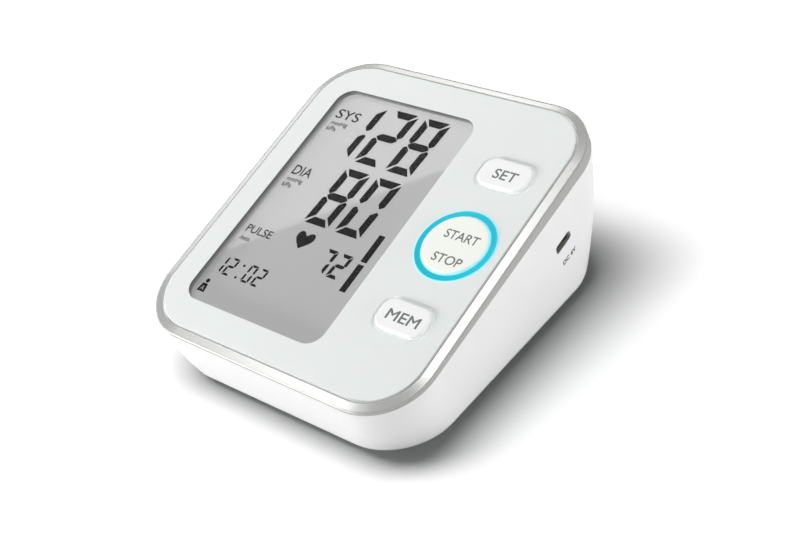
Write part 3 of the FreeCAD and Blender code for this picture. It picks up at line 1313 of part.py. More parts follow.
def usb_shell():
    """Metal shell of the small power socket."""
    start = INLET_FACE - SHELL_LENGTH
    outer = flat_bar(SHELL_WIDTH, SHELL_HEIGHT, start, SHELL_LENGTH)
    inner_width = SHELL_WIDTH - 2 * SHELL_WALL
    inner_height = SHELL_HEIGHT - 2 * SHELL_WALL
    inner = flat_bar(inner_width, inner_height, start + SHELL_WALL, SHELL_LENGTH)
    return inlet_frame(outer.cut(inner))


def usb_tongue():
    """Plastic tongue with the contacts inside the shell."""
    start = INLET_FACE - SHELL_LENGTH + SHELL_WALL
    smaller = 2 * SHELL_WALL + SEAT_GAP
    back = flat_bar(SHELL_WIDTH - smaller, SHELL_HEIGHT - smaller, start, TONGUE_BACK)
    tongue_low = SHELL_HEIGHT / 2 - SHELL_WALL - TONGUE_ROOM - TONGUE_THICKNESS
    corner = vec(start + TONGUE_BACK / 2, -TONGUE_WIDTH / 2, tongue_low)
    tongue = Part.makeBox(SHELL_LENGTH - SHELL_WALL - TONGUE_BACK, TONGUE_WIDTH, TONGUE_THICKNESS, corner)
    return inlet_frame(fused([back, tongue]))


def usb_board():
    """Small board that carries the power socket."""
    top = inlet_board_top()
    return inlet_frame(Part.makeBox(INLET_BOARD_LENGTH, INLET_BOARD_WIDTH, INLET_BOARD_THICKNESS,
                                    vec(INLET_BOARD_EDGE - INLET_BOARD_LENGTH, -INLET_BOARD_WIDTH / 2,
                                        top - INLET_BOARD_THICKNESS)))


# ---- leads ------------------------------------------------------------------------------------------

def lead(start, leave, end):
    """Insulated lead from a flat it stands on at start, along leave, up to the board's underside."""
    arrive = face_point(0, 0, LEAD_RUN).sub(face_point(0, 0, 0))
    return swept([start, start.add(leave), end.sub(arrive), end], LEAD_DIAMETER / 2)


def board_underside(x, y):
    """Point of the board's underside above a place on the table."""
    slope = math.radians(FACE_TILT)
    up_slope = (y - FACE_Y + BOARD_BOTTOM * math.sin(slope)) / math.cos(slope)
    return face_point(x, up_slope, BOARD_BOTTOM)


def motor_leads():
    """Leads from the motor's end up to the board."""
    made = []
    for side in (-1, 1):
        start = vec(PUMP_X + MOTOR_LENGTH + MOTOR_CAP_LENGTH, PUMP_Y + side * MOTOR_LEAD_OFFSET, PUMP_Z)
        made.append(lead(start, vec(LEAD_RUN / 2, 0, 0), board_underside(start.x + LEAD_RUN / 2, start.y)))
    return group(made)


def battery_leads():
    """Leads from the contact lugs up to the board."""
    made = []
    for x in lug_places():
        start = vec(x, BAY_REAR - CONTACT_THICKNESS, BAY_ROOF + BAY_WALL + LUG_RISE - LEAD_DIAMETER)
        made.append(lead(start, vec(0, -LEAD_RUN, 0), board_underside(x, start.y - LEAD_RUN)))
    return group(made)


def valve_leads():
    """Leads from the valve's coil up to the board."""
    made = []
    for side in (-1, 1):
        start = valve_point(side * LEAD_SPACING).add(vec(0, 0, COIL_RADIUS - COIL_STEP))
        made.append(lead(start, vec(0, 0, LEAD_RUN), board_underside(VALVE_X + LEAD_RUN, start.y)))
    return group(made)


def usb_leads():
    """Leads from the inlet board up to the main board."""
    made = []
    for side in (-1, 1):
        x = INLET_BOARD_EDGE - INLET_BOARD_LENGTH + LEAD_DIAMETER
        turn = FreeCAD.Rotation(X_AXIS, PARTING_TILT)
        start = turn.multVec(vec(x, side * LEAD_SPACING / 2, inlet_board_top())).add(vec(0, INLET_Y, INLET_Z))
        leave = turn.multVec(vec(0, 0, LEAD_RUN / 2))
        made.append(lead(start, leave, board_underside(x - LEAD_RUN / 2, start.y)))
    return group(made)


NODES = {
    "lower_housing": lower_housing,
    "trim_ring": trim_ring,
    "face_panel": face_panel,
    "display_lens": display_lens,
    "lcd_glass": lcd_glass,
    "lcd_reflector": lcd_reflector,
    "lcd_frame": lcd_frame,
    "contact_strips": contact_strips,
    "main_board": main_board,
    "processor": processor,
    "board_chips": board_chips,
    "buzzer": buzzer,
    "board_screws": board_screws,
    "set_key": lambda: oblong_key(START_Y + KEY_PITCH),
    "start_key": start_key,
    "memory_key": lambda: oblong_key(START_Y - KEY_PITCH),
    "light_ring": light_ring,
    "ring_leds": ring_leds,
    "key_switches": key_switches,
    "set_plunger": lambda: plunger(START_Y + KEY_PITCH),
    "start_plunger": lambda: plunger(START_Y),
    "memory_plunger": lambda: plunger(START_Y - KEY_PITCH),
    "case_screws": case_screws,
    "rubber_feet": rubber_feet,
    "battery_door": battery_door,
    "cells": cells,
    "contact_plates": contact_plates,
    "contact_springs": contact_springs,
    "motor_can": motor_can,
    "motor_cap": motor_cap,
    "motor_rotor": motor_rotor,
    "pump_head": pump_head,
    "pump_diaphragm": pump_diaphragm,
    "pump_cover": pump_cover,
    "pump_rings": pump_rings,
    "pump_straps": pump_straps,
    "air_socket": air_socket,
    "socket_nut": socket_nut,
    "air_manifold": air_manifold,
    "socket_tube": socket_tube,
    "pump_tube": pump_tube,
    "sensor_tube": sensor_tube,
    "valve_tube": valve_tube,
    "pressure_sensor": pressure_sensor,
    "valve_yoke": valve_yoke,
    "valve_coil": valve_coil,
    "valve_plunger": valve_plunger,
    "valve_nozzle": valve_nozzle,
    "usb_shell": usb_shell,
    "usb_tongue": usb_tongue,
    "usb_board": usb_board,
    "battery_leads": battery_leads,
    "motor_leads": motor_leads,
    "valve_leads": valve_leads,
    "usb_leads": usb_leads,
}


def main():
    """Write one STEP file per node."""
    os.makedirs("parts", exist_ok=True)
    for name, make in NODES.items():
        shape = make()
        if not shape.isValid():
            print("not valid:", name)
        shape.exportStep(os.path.join("parts", name + ".step"))
        print(name, len(shape.Solids), "solids", round(shape.Volume, 1), "mm3")


main()
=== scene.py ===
import logging
import math
from dataclasses import dataclass
from enum import Enum

import bpy
from mathutils import Matrix, Vector


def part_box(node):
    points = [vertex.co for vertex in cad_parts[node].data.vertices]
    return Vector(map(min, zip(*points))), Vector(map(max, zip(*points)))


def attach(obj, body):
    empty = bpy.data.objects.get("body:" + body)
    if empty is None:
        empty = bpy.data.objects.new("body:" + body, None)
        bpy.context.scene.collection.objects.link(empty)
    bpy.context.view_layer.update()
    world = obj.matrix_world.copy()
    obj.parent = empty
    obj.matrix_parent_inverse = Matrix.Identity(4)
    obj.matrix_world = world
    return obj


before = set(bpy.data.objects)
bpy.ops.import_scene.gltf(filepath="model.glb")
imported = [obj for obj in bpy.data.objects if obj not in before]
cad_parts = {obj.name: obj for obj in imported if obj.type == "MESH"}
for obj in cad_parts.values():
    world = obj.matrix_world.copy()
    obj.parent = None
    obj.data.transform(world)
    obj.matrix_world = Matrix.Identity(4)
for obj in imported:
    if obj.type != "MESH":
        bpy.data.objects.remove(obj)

# Looks of a tabletop blood pressure monitor: finishes for every moulded, metal and rubber piece, the
# signs of the display and the words on the keys.  Metres, Z up, the user in front at -Y.  The face's
# own frame is u to the right, v up the slope and n out of it, from the middle of the display window.
# Sizes in that frame and fields that end in _mm are millimetres.

LOG = logging.getLogger("monitor")
MM = 0.001
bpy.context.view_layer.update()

FILM_MM = 0.02  # thickness of printed ink and of the crystal's signs
ACRYLIC_IOR = 1.49
RING_MIDDLE = (51.3, 1.07)  # axis of the round key and its ring on the face
TO_FRONT_RIGHT = (0.77, -0.64)  # way across the face to its front right corner
TO_REAR_LEFT = (-0.77, 0.64)
LIT_PLACE = (0.0, 0.0, 0.02)  # what the lights look at, in the middle of the case

Node = bpy.types.Node
Outputs = bpy.types.NodeOutputs
Piece = bpy.types.Object
Socket = bpy.types.NodeSocket
Tree = bpy.types.NodeTree
Pair = tuple[float, float]
Point = tuple[float, float, float]


# ---- small helpers ----------------------------------------------------------------------------------

def linear(code: str) -> tuple[float, float, float, float]:
    """Turn an sRGB hex colour into linear light.

    Args:
        code: six hex digits after a hash sign.

    Returns:
        Red, green, blue and an alpha of 1.
    """
    parts = [int(code[i:i + 2], 16) / 255 for i in (1, 3, 5)]
    return (*[c / 12.92 if c <= 0.04045 else ((c + 0.055) / 1.055) ** 2.4 for c in parts], 1.0)


def plug(tree: Tree, socket: Socket, source: object) -> None:
    """Link an input to the output that feeds it, or set its own value.

    Args:
        tree: the node tree.
        socket: the input.
        source: an output socket or a plain value.
    """
    if isinstance(source, Socket):
        tree.links.new(source, socket)
    else:
        socket.default_value = source


def put(tree: Tree, kind: str, inputs: dict | None = None, **settings: object) -> Node:
    """Add a shader node.

    Args:
        tree: the node tree to add it to.
        kind: the node's type without its common prefix.
        inputs: input socket to the output that feeds it or to its value.
        **settings: properties of the node.

    Returns:
        The new node.
    """
    node = tree.nodes.new("ShaderNode" + kind)
    for name, value in settings.items():
        setattr(node, name, value)
    for key, source in (inputs or {}).items():
        plug(tree, node.inputs[key], source)
    return node


def empty_tree(owner: bpy.types.Material | bpy.types.World) -> Tree:
    """Give a material or a world an empty node tree.

    Args:
        owner: the material or the world.

    Returns:
        Its tree.
    """
    owner.use_nodes = True
    owner.node_tree.nodes.clear()
    return owner.node_tree


def metres(pair: Pair) -> Pair:
    """Turn two millimetre values into metres."""
    return (pair[0] * MM, pair[1] * MM)


def nothing_selected() -> None:
    """Leave edit mode and deselect everything."""
    if bpy.context.object and bpy.context.object.mode != "OBJECT":
        bpy.ops.object.mode_set(mode="OBJECT")
    bpy.ops.object.select_all(action="DESELECT")


def joined(pieces: list[Piece], name: str) -> Piece:
    """Join mesh objects into the first of them.

    Args:
        pieces: the objects.
        name: name of the result.

    Returns:
        The joined object.
    """
    nothing_selected()
    for piece in pieces:
        piece.select_set(True)
    bpy.context.view_layer.objects.active = pieces[0]
    if len(pieces) > 1:
        bpy.ops.object.join()
    pieces[0].name = name
    pieces[0].data.name = name
    nothing_selected()
    return pieces[0]


def copied(piece: Piece, move: Vector) -> Piece:
    """Copy an object with a mesh of its own, moved.

    Args:
        piece: what to copy.
        move: how far its mesh moves.

    Returns:
        The copy.
    """
    twin = piece.copy()
    twin.data = piece.data.copy()
    twin.data.transform(Matrix.Translation(move))
    bpy.context.scene.collection.objects.link(twin)
    return twin


def flat_strip(x: float, y: float, wide: float, tall: float) -> Piece:
    """Lay a flat rectangle.

    Args:
        x: its middle in millimetres.
        y: its middle in millimetres.
        wide: its width in millimetres.
        tall: its height in millimetres.

    Returns:
        The rectangle.
    """
    nothing_selected()
    bpy.ops.mesh.primitive_plane_add(size=1.0, location=(x * MM, y * MM, 0.0))
    strip = bpy.context.object
    strip.scale = (wide * MM, tall * MM, 1.0)
    bpy.ops.object.transform_apply(location=True, rotation=False, scale=True)
    return strip


def edit_all() -> None:
    """Go into edit mode with everything selected."""
    bpy.ops.object.mode_set(mode="EDIT")
    bpy.ops.mesh.select_all(action="SELECT")


def thickened(drawing: Piece) -> Piece:
    """Raise a flat drawing to the thickness of a film of ink.

    Args:
        drawing: the active object, flat in its own XY plane.

    Returns:
        The same object.
    """
    edit_all()
    bpy.ops.mesh.extrude_region_move(TRANSFORM_OT_translate={"value": (0.0, 0.0, FILM_MM * MM)})
    bpy.ops.mesh.select_all(action="SELECT")
    bpy.ops.mesh.normals_make_consistent(inside=False)
    bpy.ops.object.mode_set(mode="OBJECT")
    return drawing


# ---- the face's own frame ---------------------------------------------------------------------------

@dataclass(frozen=True)
class FaceFrame:
    """The sloping face: where its frame starts and how far the face tips up."""

    middle: Vector
    tilt: float = math.radians(14.4)
    lens_depth_mm: float = 2.6

    @classmethod
    def from_lens(cls) -> "FaceFrame":
        """Find the window's middle from the lens behind it.

        Returns:
            The frame.
        """
        low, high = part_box("display_lens")
        out = Vector((0.0, -math.sin(cls.tilt), math.cos(cls.tilt)))
        return cls((low + high) / 2 + out * cls.lens_depth_mm * MM)

    def matrix(self, u: float = 0.0, v: float = 0.0, n: float = 0.0) -> Matrix:
        """Placement of a flat drawing on the face.

        Args:
            u: millimetres to the right of the frame's start.
            v: millimetres up the slope.
            n: millimetres out of the face.

        Returns:
            The matrix from the drawing to the table frame.
        """
        return (Matrix.Translation(self.middle) @ Matrix.Rotation(self.tilt, 4, "X")
                @ Matrix.Translation(Vector((u, v, n)) * MM))

    def moved(self, u: float, v: float) -> "FaceFrame":
        """The same frame, started at another point of the face."""
        return FaceFrame(self.matrix(u, v).to_translation(), self.tilt)

    def out(self) -> Point:
        """The way that the face looks."""
        return (0.0, -math.sin(self.tilt), math.cos(self.tilt))

    def across(self, u: float, v: float) -> Point:
        """A way in the face's plane, as the table frame has it."""
        return (u, v * math.cos(self.tilt), v * math.sin(self.tilt))


# ---- finishes ---------------------------------------------------------------------------------------

class Surface(Enum):
    """How much of the mould's pitting a surface shows."""

    SPARK_ERODED = 1.0
    POLISHED = 0.15


@dataclass(frozen=True)
class Blank:
    """A material while it is being made: its nodes, its shader and the object's own coordinates."""

    tree: Tree
    shader: Node
    place: Socket

    def feed(self, inputs: dict[str, object]) -> None:
        """Link or set inputs of the shader.

        Args:
            inputs: input's name to the output that feeds it or to its value.
        """
        for name, source in inputs.items():
            plug(self.tree, self.shader.inputs[name], source)

    def tone(self) -> Socket:
        """What feeds the shader's colour so far."""
        return self.shader.inputs["Base Color"].links[0].from_socket

    def mix(self, share: Socket, first: str | Socket, second: str | Socket) -> Socket:
        """Mix two colours.

        Args:
            share: how much there is of the second.
            first: a colour's hex code or the output that gives it.
            second: the other colour.

        Returns:
            The mixed colour.
        """
        tones = {key: linear(tone) if isinstance(tone, str) else tone
                 for key, tone in (("A", first), ("B", second))}
        mixed = put(self.tree, "Mix", {"Factor": share, **tones}, data_type="RGBA")
        return mixed.outputs["Result"]

    def ramp(self, value: Socket, start: float, end: float, low: float = 0.0, high: float = 1.0,
             smooth: bool = False) -> Socket:
        """Turn one range into another, held at both ends.

        Args:
            value: what to turn.
            start: its value that gives low.
            end: its value that gives high.
            low: the result at the start.
            high: the result at the end.
            smooth: whether the ends are eased.

        Returns:
            The result.
        """
        turned = put(self.tree, "MapRange",
                     {"Value": value, "From Min": start, "From Max": end, "To Min": low, "To Max": high},
                     interpolation_type="SMOOTHSTEP" if smooth else "LINEAR")
        return turned.outputs["Result"]

    def math(self, operation: str, first: Socket, second: Socket | float = 0.0,
             clamp: bool = False) -> Socket:
        """Reckon with one or two values.

        Args:
            operation: Blender's name of the operation.
            first: the first value.
            second: the second one, where the operation takes it.
            clamp: whether the result is held between 0 and 1.

        Returns:
            The result.
        """
        done = put(self.tree, "Math", {0: first, 1: second}, operation=operation, use_clamp=clamp)
        return done.outputs["Value"]

    def noise(self, grain_mm: float, detail: float, roughness: float = 0.5,
              place: Socket | None = None) -> Socket:
        """Uneven patches.

        Args:
            grain_mm: their size.
            detail: how many finer layers they have.
            roughness: how strong the finer layers are.
            place: where they are read, if not in the object's own coordinates.

        Returns:
            Their strength, about a half on average.
        """
        patches = put(self.tree, "TexNoise",
                      {"Vector": place or self.place, "Scale": 1 / (grain_mm * MM), "Detail": detail,
                       "Roughness": roughness})
        return patches.outputs["Fac"]

    def bump(self, height: Socket, strength: float, depth_mm: float) -> Socket:
        """Turn a height into relief.

        Args:
            height: 0 in a pit, 1 on a crest.
            strength: how far the relief is believed.
            depth_mm: from pit to crest.

        Returns:
            The normal that the relief gives.
        """
        relief = put(self.tree, "Bump",
                     {"Height": height, "Strength": strength, "Distance": depth_mm * MM})
        return relief.outputs["Normal"]

    def on_face(self, face: FaceFrame) -> Outputs:
        """Read a place in the face's own frame.

        Args:
            face: the frame.

        Returns:
            X for u, Y for v and Z for n, in metres.
        """
        flat = put(self.tree, "Mapping",
                   {"Vector": self.place, "Location": tuple(face.middle),
                    "Rotation": (face.tilt, 0.0, 0.0)}, vector_type="TEXTURE")
        return put(self.tree, "SeparateXYZ", {"Vector": flat.outputs["Vector"]}).outputs

    def around(self, split: Outputs) -> Socket:
        """Distance from the axis that leaves the face at its frame's start.

        Args:
            split: a place in that frame.

        Returns:
            The distance in metres.
        """
        level = put(self.tree, "CombineXYZ", {"X": split["X"], "Y": split["Y"]})
        away = put(self.tree, "VectorMath", {0: level.outputs["Vector"]}, operation="LENGTH")
        return away.outputs["Value"]

    def facing(self, way: Socket | Point) -> Socket:
        """How far the surface faces a way.

        Args:
            way: the way.

        Returns:
            The way's share along the surface's normal.
        """
        normal = put(self.tree, "TexCoord").outputs["Normal"]
        share = put(self.tree, "VectorMath", {0: normal, 1: way}, operation="DOT_PRODUCT")
        return share.outputs["Value"]


@dataclass(frozen=True)
class Finish:
    """A finish with its own colour; what follows adds how it was made."""

    name: str
    colour: str
    roughness: float

    def material(self) -> bpy.types.Material:
        """Build the material once and keep it.

        Returns:
            The material.
        """
        found = bpy.data.materials.get(self.name)
        if found:
            return found
        made = bpy.data.materials.new(self.name)
        tree = empty_tree(made)
        place = put(tree, "TexCoord").outputs["Object"]
        shader = put(tree, "BsdfPrincipled",
                     {"Base Color": linear(self.colour), "Roughness": self.roughness})
        self.dress(Blank(tree, shader, place))
        put(tree, "OutputMaterial", {"Surface": shader.outputs[0]})
        made.diffuse_color = linear(self.colour)
        return made

    def dress(self, blank: Blank) -> None:
        """Add what makes the finish its own.

        Args:
            blank: the material being made.
        """

    def coat(self, *pieces: Piece) -> None:
        """Give the finish to pieces as their only material.

        Args:
            *pieces: the pieces.
        """
        for piece in pieces:
            if not piece.data.materials:
                piece.data.materials.append(None)
            for slot in piece.material_slots:
                slot.material = self.material()


@dataclass(frozen=True)
class MouldedPlastic(Finish):
    """Injection-moulded plastic. The eye sees an even satin body whose highlights break up slightly in
    the fine pitting of the mould, and very slow shifts of tone from the flow of the melt."""

    shade: str = "#E0E2E1"
    surface: Surface = Surface.SPARK_ERODED
    # painted glow: how strongly the plastic gives off its own tone as light; none by default
    painted_glow_strength: float = 0.0
    grain_mm: float = 0.22
    flow_mm: float = 16.0
    relief: Pair = (0.12, 0.05)
    gloss_shift: Pair = (-0.04, 0.05)

    def dress(self, blank: Blank) -> None:
        """Flow tone, spark-eroded pitting and gloss that changes with it.

        Args:
            blank: the material being made.
        """
        tone = blank.mix(blank.noise(self.flow_mm, 2.0), self.colour, self.shade)
        pits = blank.noise(self.grain_mm, 3.0, 0.6)
        less, more = self.gloss_shift
        strength, depth_mm = self.relief
        blank.feed({
            "Base Color": tone,
            "Roughness": blank.ramp(pits, 0.3, 0.7, self.roughness + less, self.roughness + more),
            "Normal": blank.bump(pits, strength * self.surface.value, depth_mm),
            "Emission Color": tone,
            "Emission Strength": self.painted_glow_strength,
        })


@dataclass(frozen=True)
class GapLitPlastic(MouldedPlastic):
    """Pale moulded plastic beside a narrow gap, with painted light in the gap: its steep walls under the
    face glow with the plastic's own tone, so the eye sees the gap as a soft grey line and not a black one."""

    face: FaceFrame | None = None
    painted_gap_light: float = 0.3
    steep: Pair = (0.35, 0.2)
    under_mm: Pair = (0.1, -0.1)

    def dress(self, blank: Blank) -> None:
        """Plastic first, then painted light given off by the steep walls under the face.

        Args:
            blank: the material being made.
        """
        super().dress(blank)
        # painted light: the steep walls under the face glow
        walls = blank.ramp(blank.facing(self.face.out()), *self.steep, 0.0, self.painted_gap_light)
        under = blank.ramp(blank.on_face(self.face)["Z"], *metres(self.under_mm))
        blank.feed({"Emission Color": blank.tone(),
                    "Emission Strength": blank.math("MULTIPLY", walls, under)})


@dataclass(frozen=True)
class RingLitPlastic(GapLitPlastic):
    """Moulded plastic beside the lit ring. A pale blue rim of light is painted into its edge, in its
    colour and given off as light, and it dies away within about a millimetre."""

    glow: str = "#BCF3FA"
    edge_mm: float = 13.6
    fade_mm: float = 0.9

    def dress(self, blank: Blank) -> None:
        """Plastic first, then the painted rim of light by distance from the ring's axis.

        Args:
            blank: the material being made.
        """
        super().dress(blank)
        reach = blank.around(blank.on_face(self.face.moved(*RING_MIDDLE)))
        edge, end = metres((self.edge_mm, self.edge_mm + self.fade_mm))
        # painted light: a pale blue rim near the ring, in colour and glow
        leak = blank.ramp(reach, edge, end, 1.0, 0.0, smooth=True)
        lit = blank.mix(leak, blank.tone(), self.glow)
        blank.feed({"Base Color": lit, "Emission Color": lit})


@dataclass(frozen=True)
class PanelPlastic(RingLitPlastic):
    """The panel's plastic, with painted shade on the window's wall and on the plate's rolled edge. The eye
    sees a crisp dark line where the plate ends and the wall fading to grey as it goes down to the glass,
    both painted into the colour."""

    window_half: Pair = (31.0, 48.8)
    # painted shade on the window's wall, dark at its top and greyer at its foot
    wall_top_shade: str = "#4C4D4D"
    wall_foot_shade: str = "#868787"
    wall_mm: float = 2.0
    wall_start_mm: Pair = (-0.12, -0.3)
    # painted shade on the rolled edge that faces the front and the right
    edge: str = "#B4B5B5"
    edge_shade_lean: Pair = (0.08, 0.45)
    keys_half: Pair = (14.0, 42.0)

    def rolled_edge_shade(self, blank: Blank, split: Outputs) -> Socket:
        """Find the plate's rolled edge where it turns down into the groove at the right and in front,
        which is painted in shade.

        Args:
            blank: the material being made.
            split: u, v and n of a place.

        Returns:
            1 on that edge, 0 on the flat plate and round the keys.
        """
        rolled = blank.ramp(blank.facing(self.face.across(*TO_FRONT_RIGHT)), *self.edge_shade_lean)
        beside = blank.math("SUBTRACT", split["X"], RING_MIDDLE[0] * MM)
        outside = [blank.math("GREATER_THAN", blank.math("ABSOLUTE", value), half * MM)
                   for value, half in zip((beside, split["Y"]), self.keys_half)]
        return blank.math("MULTIPLY", rolled, blank.math("MAXIMUM", *outside))

    def dress(self, blank: Blank) -> None:
        """Panel first, then painted shade on its rolled edge, then painted shade on the wall by its depth
        under the plate round the window.

        Args:
            blank: the material being made.
        """
        super().dress(blank)
        split = blank.on_face(self.face)
        edge_shaded = blank.mix(self.rolled_edge_shade(blank, split), blank.tone(), self.edge)
        above, start = metres(self.wall_start_mm)
        wall = blank.mix(blank.ramp(split["Z"], -self.wall_mm * MM, start), self.wall_foot_shade, self.wall_top_shade)
        inside = blank.ramp(split["Z"], above, start)
        for axis, half in zip("XY", self.window_half):
            near = blank.math("LESS_THAN", blank.math("ABSOLUTE", split[axis]), half * MM)
            inside = blank.math("MULTIPLY", inside, near)
        done = blank.mix(inside, edge_shaded, wall)
        blank.feed({"Base Color": done, "Emission Color": done})


@dataclass(frozen=True)
class SilverLacquer(Finish):
    """Silver lacquer on moulded plastic. The eye sees a bright glossy bevel, then a crest and flank
    painted greyer as shade and given less gloss, the faint sparkle of fine metal flakes under a clear
    coat, and a wall in the groove painted pale with a glow."""

    face: FaceFrame
    # shade: the painted shade of the crest and flank
    shade: str = "#B2B2B0"
    flake_mm: float = 0.12
    sparkle: float = 0.08
    bevel_mm: Pair = (-1.06, -0.86)
    shade_shift_mm: Pair = (-0.2, 0.18)
    shade_shift_lean: float = 0.25
    groove_mm: Pair = (-5.0, -20.0)
    painted_groove_light: float = 1.1
    metallic: float = 0.6
    coat_weight: float = 0.35
    specular: float = 0.5
    relief: Pair = (0.05, 0.02)
    coat_roughness: float = 0.18

    def dress(self, blank: Blank) -> None:
        """Glossy bevel and a flank painted greyer as shade by depth, the shade starting sooner on faces
        towards the rear left, flakes that tip the surface, painted light on the groove's wall.

        Args:
            blank: the material being made.
        """
        flakes = put(blank.tree, "TexVoronoi", {"Vector": blank.place, "Scale": 1 / (self.flake_mm * MM)})
        speck = flakes.outputs["Distance"]
        # painted shade reaches further up the bevel on faces towards the rear left
        band = blank.ramp(blank.facing(self.face.across(*TO_REAR_LEFT)), -self.shade_shift_lean, self.shade_shift_lean,
                          *metres(self.shade_shift_mm))
        depth = blank.math("SUBTRACT", blank.on_face(self.face)["Z"], band)
        bevel = blank.ramp(depth, *metres(self.bevel_mm), smooth=True)
        share = blank.math("SUBTRACT", bevel, blank.math("MULTIPLY", speck, self.sparkle), clamp=True)
        tone = blank.mix(share, self.shade, self.colour)
        spoke = put(blank.tree, "VectorMath", {0: blank.place, 1: tuple(self.face.middle)},
                    operation="SUBTRACT")
        # painted light: the groove's wall, facing the middle, glows
        groove = blank.ramp(blank.facing(spoke.outputs["Vector"]), *metres(self.groove_mm), 0.0,
                            self.painted_groove_light)
        blank.feed({
            "Base Color": tone,
            "Emission Color": tone,
            "Emission Strength": groove,
            "Normal": blank.bump(speck, *self.relief),
            "Metallic": blank.math("MULTIPLY", bevel, self.metallic),
            "Coat Weight": blank.math("MULTIPLY", bevel, self.coat_weight),
            "Specular IOR Level": blank.math("MULTIPLY", bevel, self.specular),
            "Coat Roughness": self.coat_roughness,
        })


@dataclass(frozen=True)
class ClearAcrylic(Finish):
    """Polished clear acrylic. The eye sees it only by its reflections and the faintest smoky tone."""

    cover: float = 0.1
    wipe_mm: float = 9.0
    wiped: float = 0.05

    def dress(self, blank: Blank) -> None:
        """Thin cover that lets most light through, a little hazier where it has been wiped.

        Args:
            blank: the material being made.
        """
        haze = blank.ramp(blank.noise(self.wipe_mm, 4.0), 0.0, 1.0, self.roughness,
                          self.roughness + self.wiped)
        blank.feed({"Roughness": haze, "Alpha": self.cover, "IOR": ACRYLIC_IOR})


@dataclass(frozen=True)
class DisplayGlass(Finish):
    """Liquid-crystal glass over its reflector. The eye sees an even silver-grey ground, painted a shade
    lighter towards the top, that stays grey under the window's wall because part of its tone is given off
    as a painted glow."""

    face: FaceFrame
    low: str = "#B2B2B2"
    painted_glow_strength: float = 0.55
    taken: float = 0.5
    half_mm: float = 49.6

    def dress(self, blank: Blank) -> None:
        """Tone painted lighter up the slope, part of it given off as a painted glow.

        Args:
            blank: the material being made.
        """
        rise = blank.ramp(blank.on_face(self.face)["Y"], -self.half_mm * MM, self.half_mm * MM)
        tone = blank.mix(rise, self.low, self.colour)
        dimmed = put(blank.tree, "VectorMath", {0: tone, "Scale": self.taken}, operation="SCALE")
        blank.feed({"Base Color": dimmed.outputs["Vector"], "Emission Color": tone,
                    "Emission Strength": self.painted_glow_strength})


@dataclass(frozen=True)
class PrintedInk(Finish):
    """Pad-printed ink or a switched-on crystal. The eye sees a flat dark mark with slightly uneven
    coverage."""

    shade: str = "#4A4A4A"
    gloss: float = 0.15
    patch_mm: float = 1.4

    def dress(self, blank: Blank) -> None:
        """Uneven coverage.

        Args:
            blank: the material being made.
        """
        tone = blank.mix(blank.noise(self.patch_mm, 3.0), self.colour, self.shade)
        blank.feed({"Base Color": tone, "Specular IOR Level": self.gloss})


@dataclass(frozen=True)
class LitAcrylic(Finish):
    """Tinted acrylic lit from below. The eye sees a bright blue band, lighter towards the upper right and
    deeper towards the lower left, with pale edges where the light leaves it."""

    face: FaceFrame
    deep: str = "#08A9BC"
    rim: str = "#B4F2F9"
    rim_start: float = 0.72
    rim_share: float = 0.85
    strength: float = 0.18
    gloss: float = 0.18
    inner_mm: float = 11.3
    outer_mm: float = 13.6
    spread_mm: float = 18.0

    def dress(self, blank: Blank) -> None:
        """Tone round the ring and pale rims across it, both also given off as light.

        Args:
            blank: the material being made.
        """
        split = blank.on_face(self.face)
        slant = blank.math("ADD", split["X"], split["Y"])
        turn = blank.ramp(slant, -self.spread_mm * MM, self.spread_mm * MM)
        middle = (self.inner_mm + self.outer_mm) / 2 * MM
        half = (self.outer_mm - self.inner_mm) / 2 * MM
        away = blank.math("ABSOLUTE", blank.math("SUBTRACT", blank.around(split), middle))
        pale = blank.ramp(away, half * self.rim_start, half, 0.0, self.rim_share, smooth=True)
        lit = blank.mix(pale, blank.mix(turn, self.deep, self.colour), self.rim)
        blank.feed({"Base Color": lit, "Emission Color": lit, "Emission Strength": self.strength,
                    "IOR": ACRYLIC_IOR, "Specular IOR Level": self.gloss})


@dataclass(frozen=True)
class SheetMetal(Finish):
    """Bare or plated metal. The eye sees bright streaks along the way it was drawn or rolled, with
    small changes of gloss."""

    streak_mm: float = 0.15
    along: Point = (1.0, 12.0, 12.0)
    gloss_shift: Pair = (-0.1, 0.12)
    smoothest: float = 0.05
    relief: Pair = (0.1, 0.02)

    def dress(self, blank: Blank) -> None:
        """Streaks in gloss and relief.

        Args:
            blank: the material being made.
        """
        stretch = put(blank.tree, "Mapping", {"Vector": blank.place, "Scale": self.along})
        streaks = blank.noise(10 * self.streak_mm, 4.0, place=stretch.outputs["Vector"])
        less, more = self.gloss_shift
        gloss = blank.ramp(streaks, 0.0, 1.0, max(self.roughness + less, self.smoothest),
                           self.roughness + more)
        blank.feed({"Roughness": gloss, "Normal": blank.bump(streaks, *self.relief), "Metallic": 1.0})


@dataclass(frozen=True)
class Elastomer(Finish):
    """Moulded or extruded rubber. The eye sees a matt, slightly dusty skin; a clear silicone lets some
    light in under it."""

    dust: str = "#5B5B5A"
    inner_light: float = 0.0
    patch_mm: float = 3.5
    patches: tuple[float, ...] = (0.45, 0.8, 0.0, 0.35)
    grain_mm: float = 0.25
    relief: Pair = (0.25, 0.05)
    light_mm: float = 1.0

    def dress(self, blank: Blank) -> None:
        """Dust in patches over a fine grain.

        Args:
            blank: the material being made.
        """
        dusty = blank.ramp(blank.noise(self.patch_mm, 5.0), *self.patches)
        blank.feed({
            "Base Color": blank.mix(dusty, self.colour, self.dust),
            "Normal": blank.bump(blank.noise(self.grain_mm, 2.0), *self.relief),
            "Subsurface Weight": self.inner_light,
            "Subsurface Radius": (self.light_mm * MM,) * 3,
        })


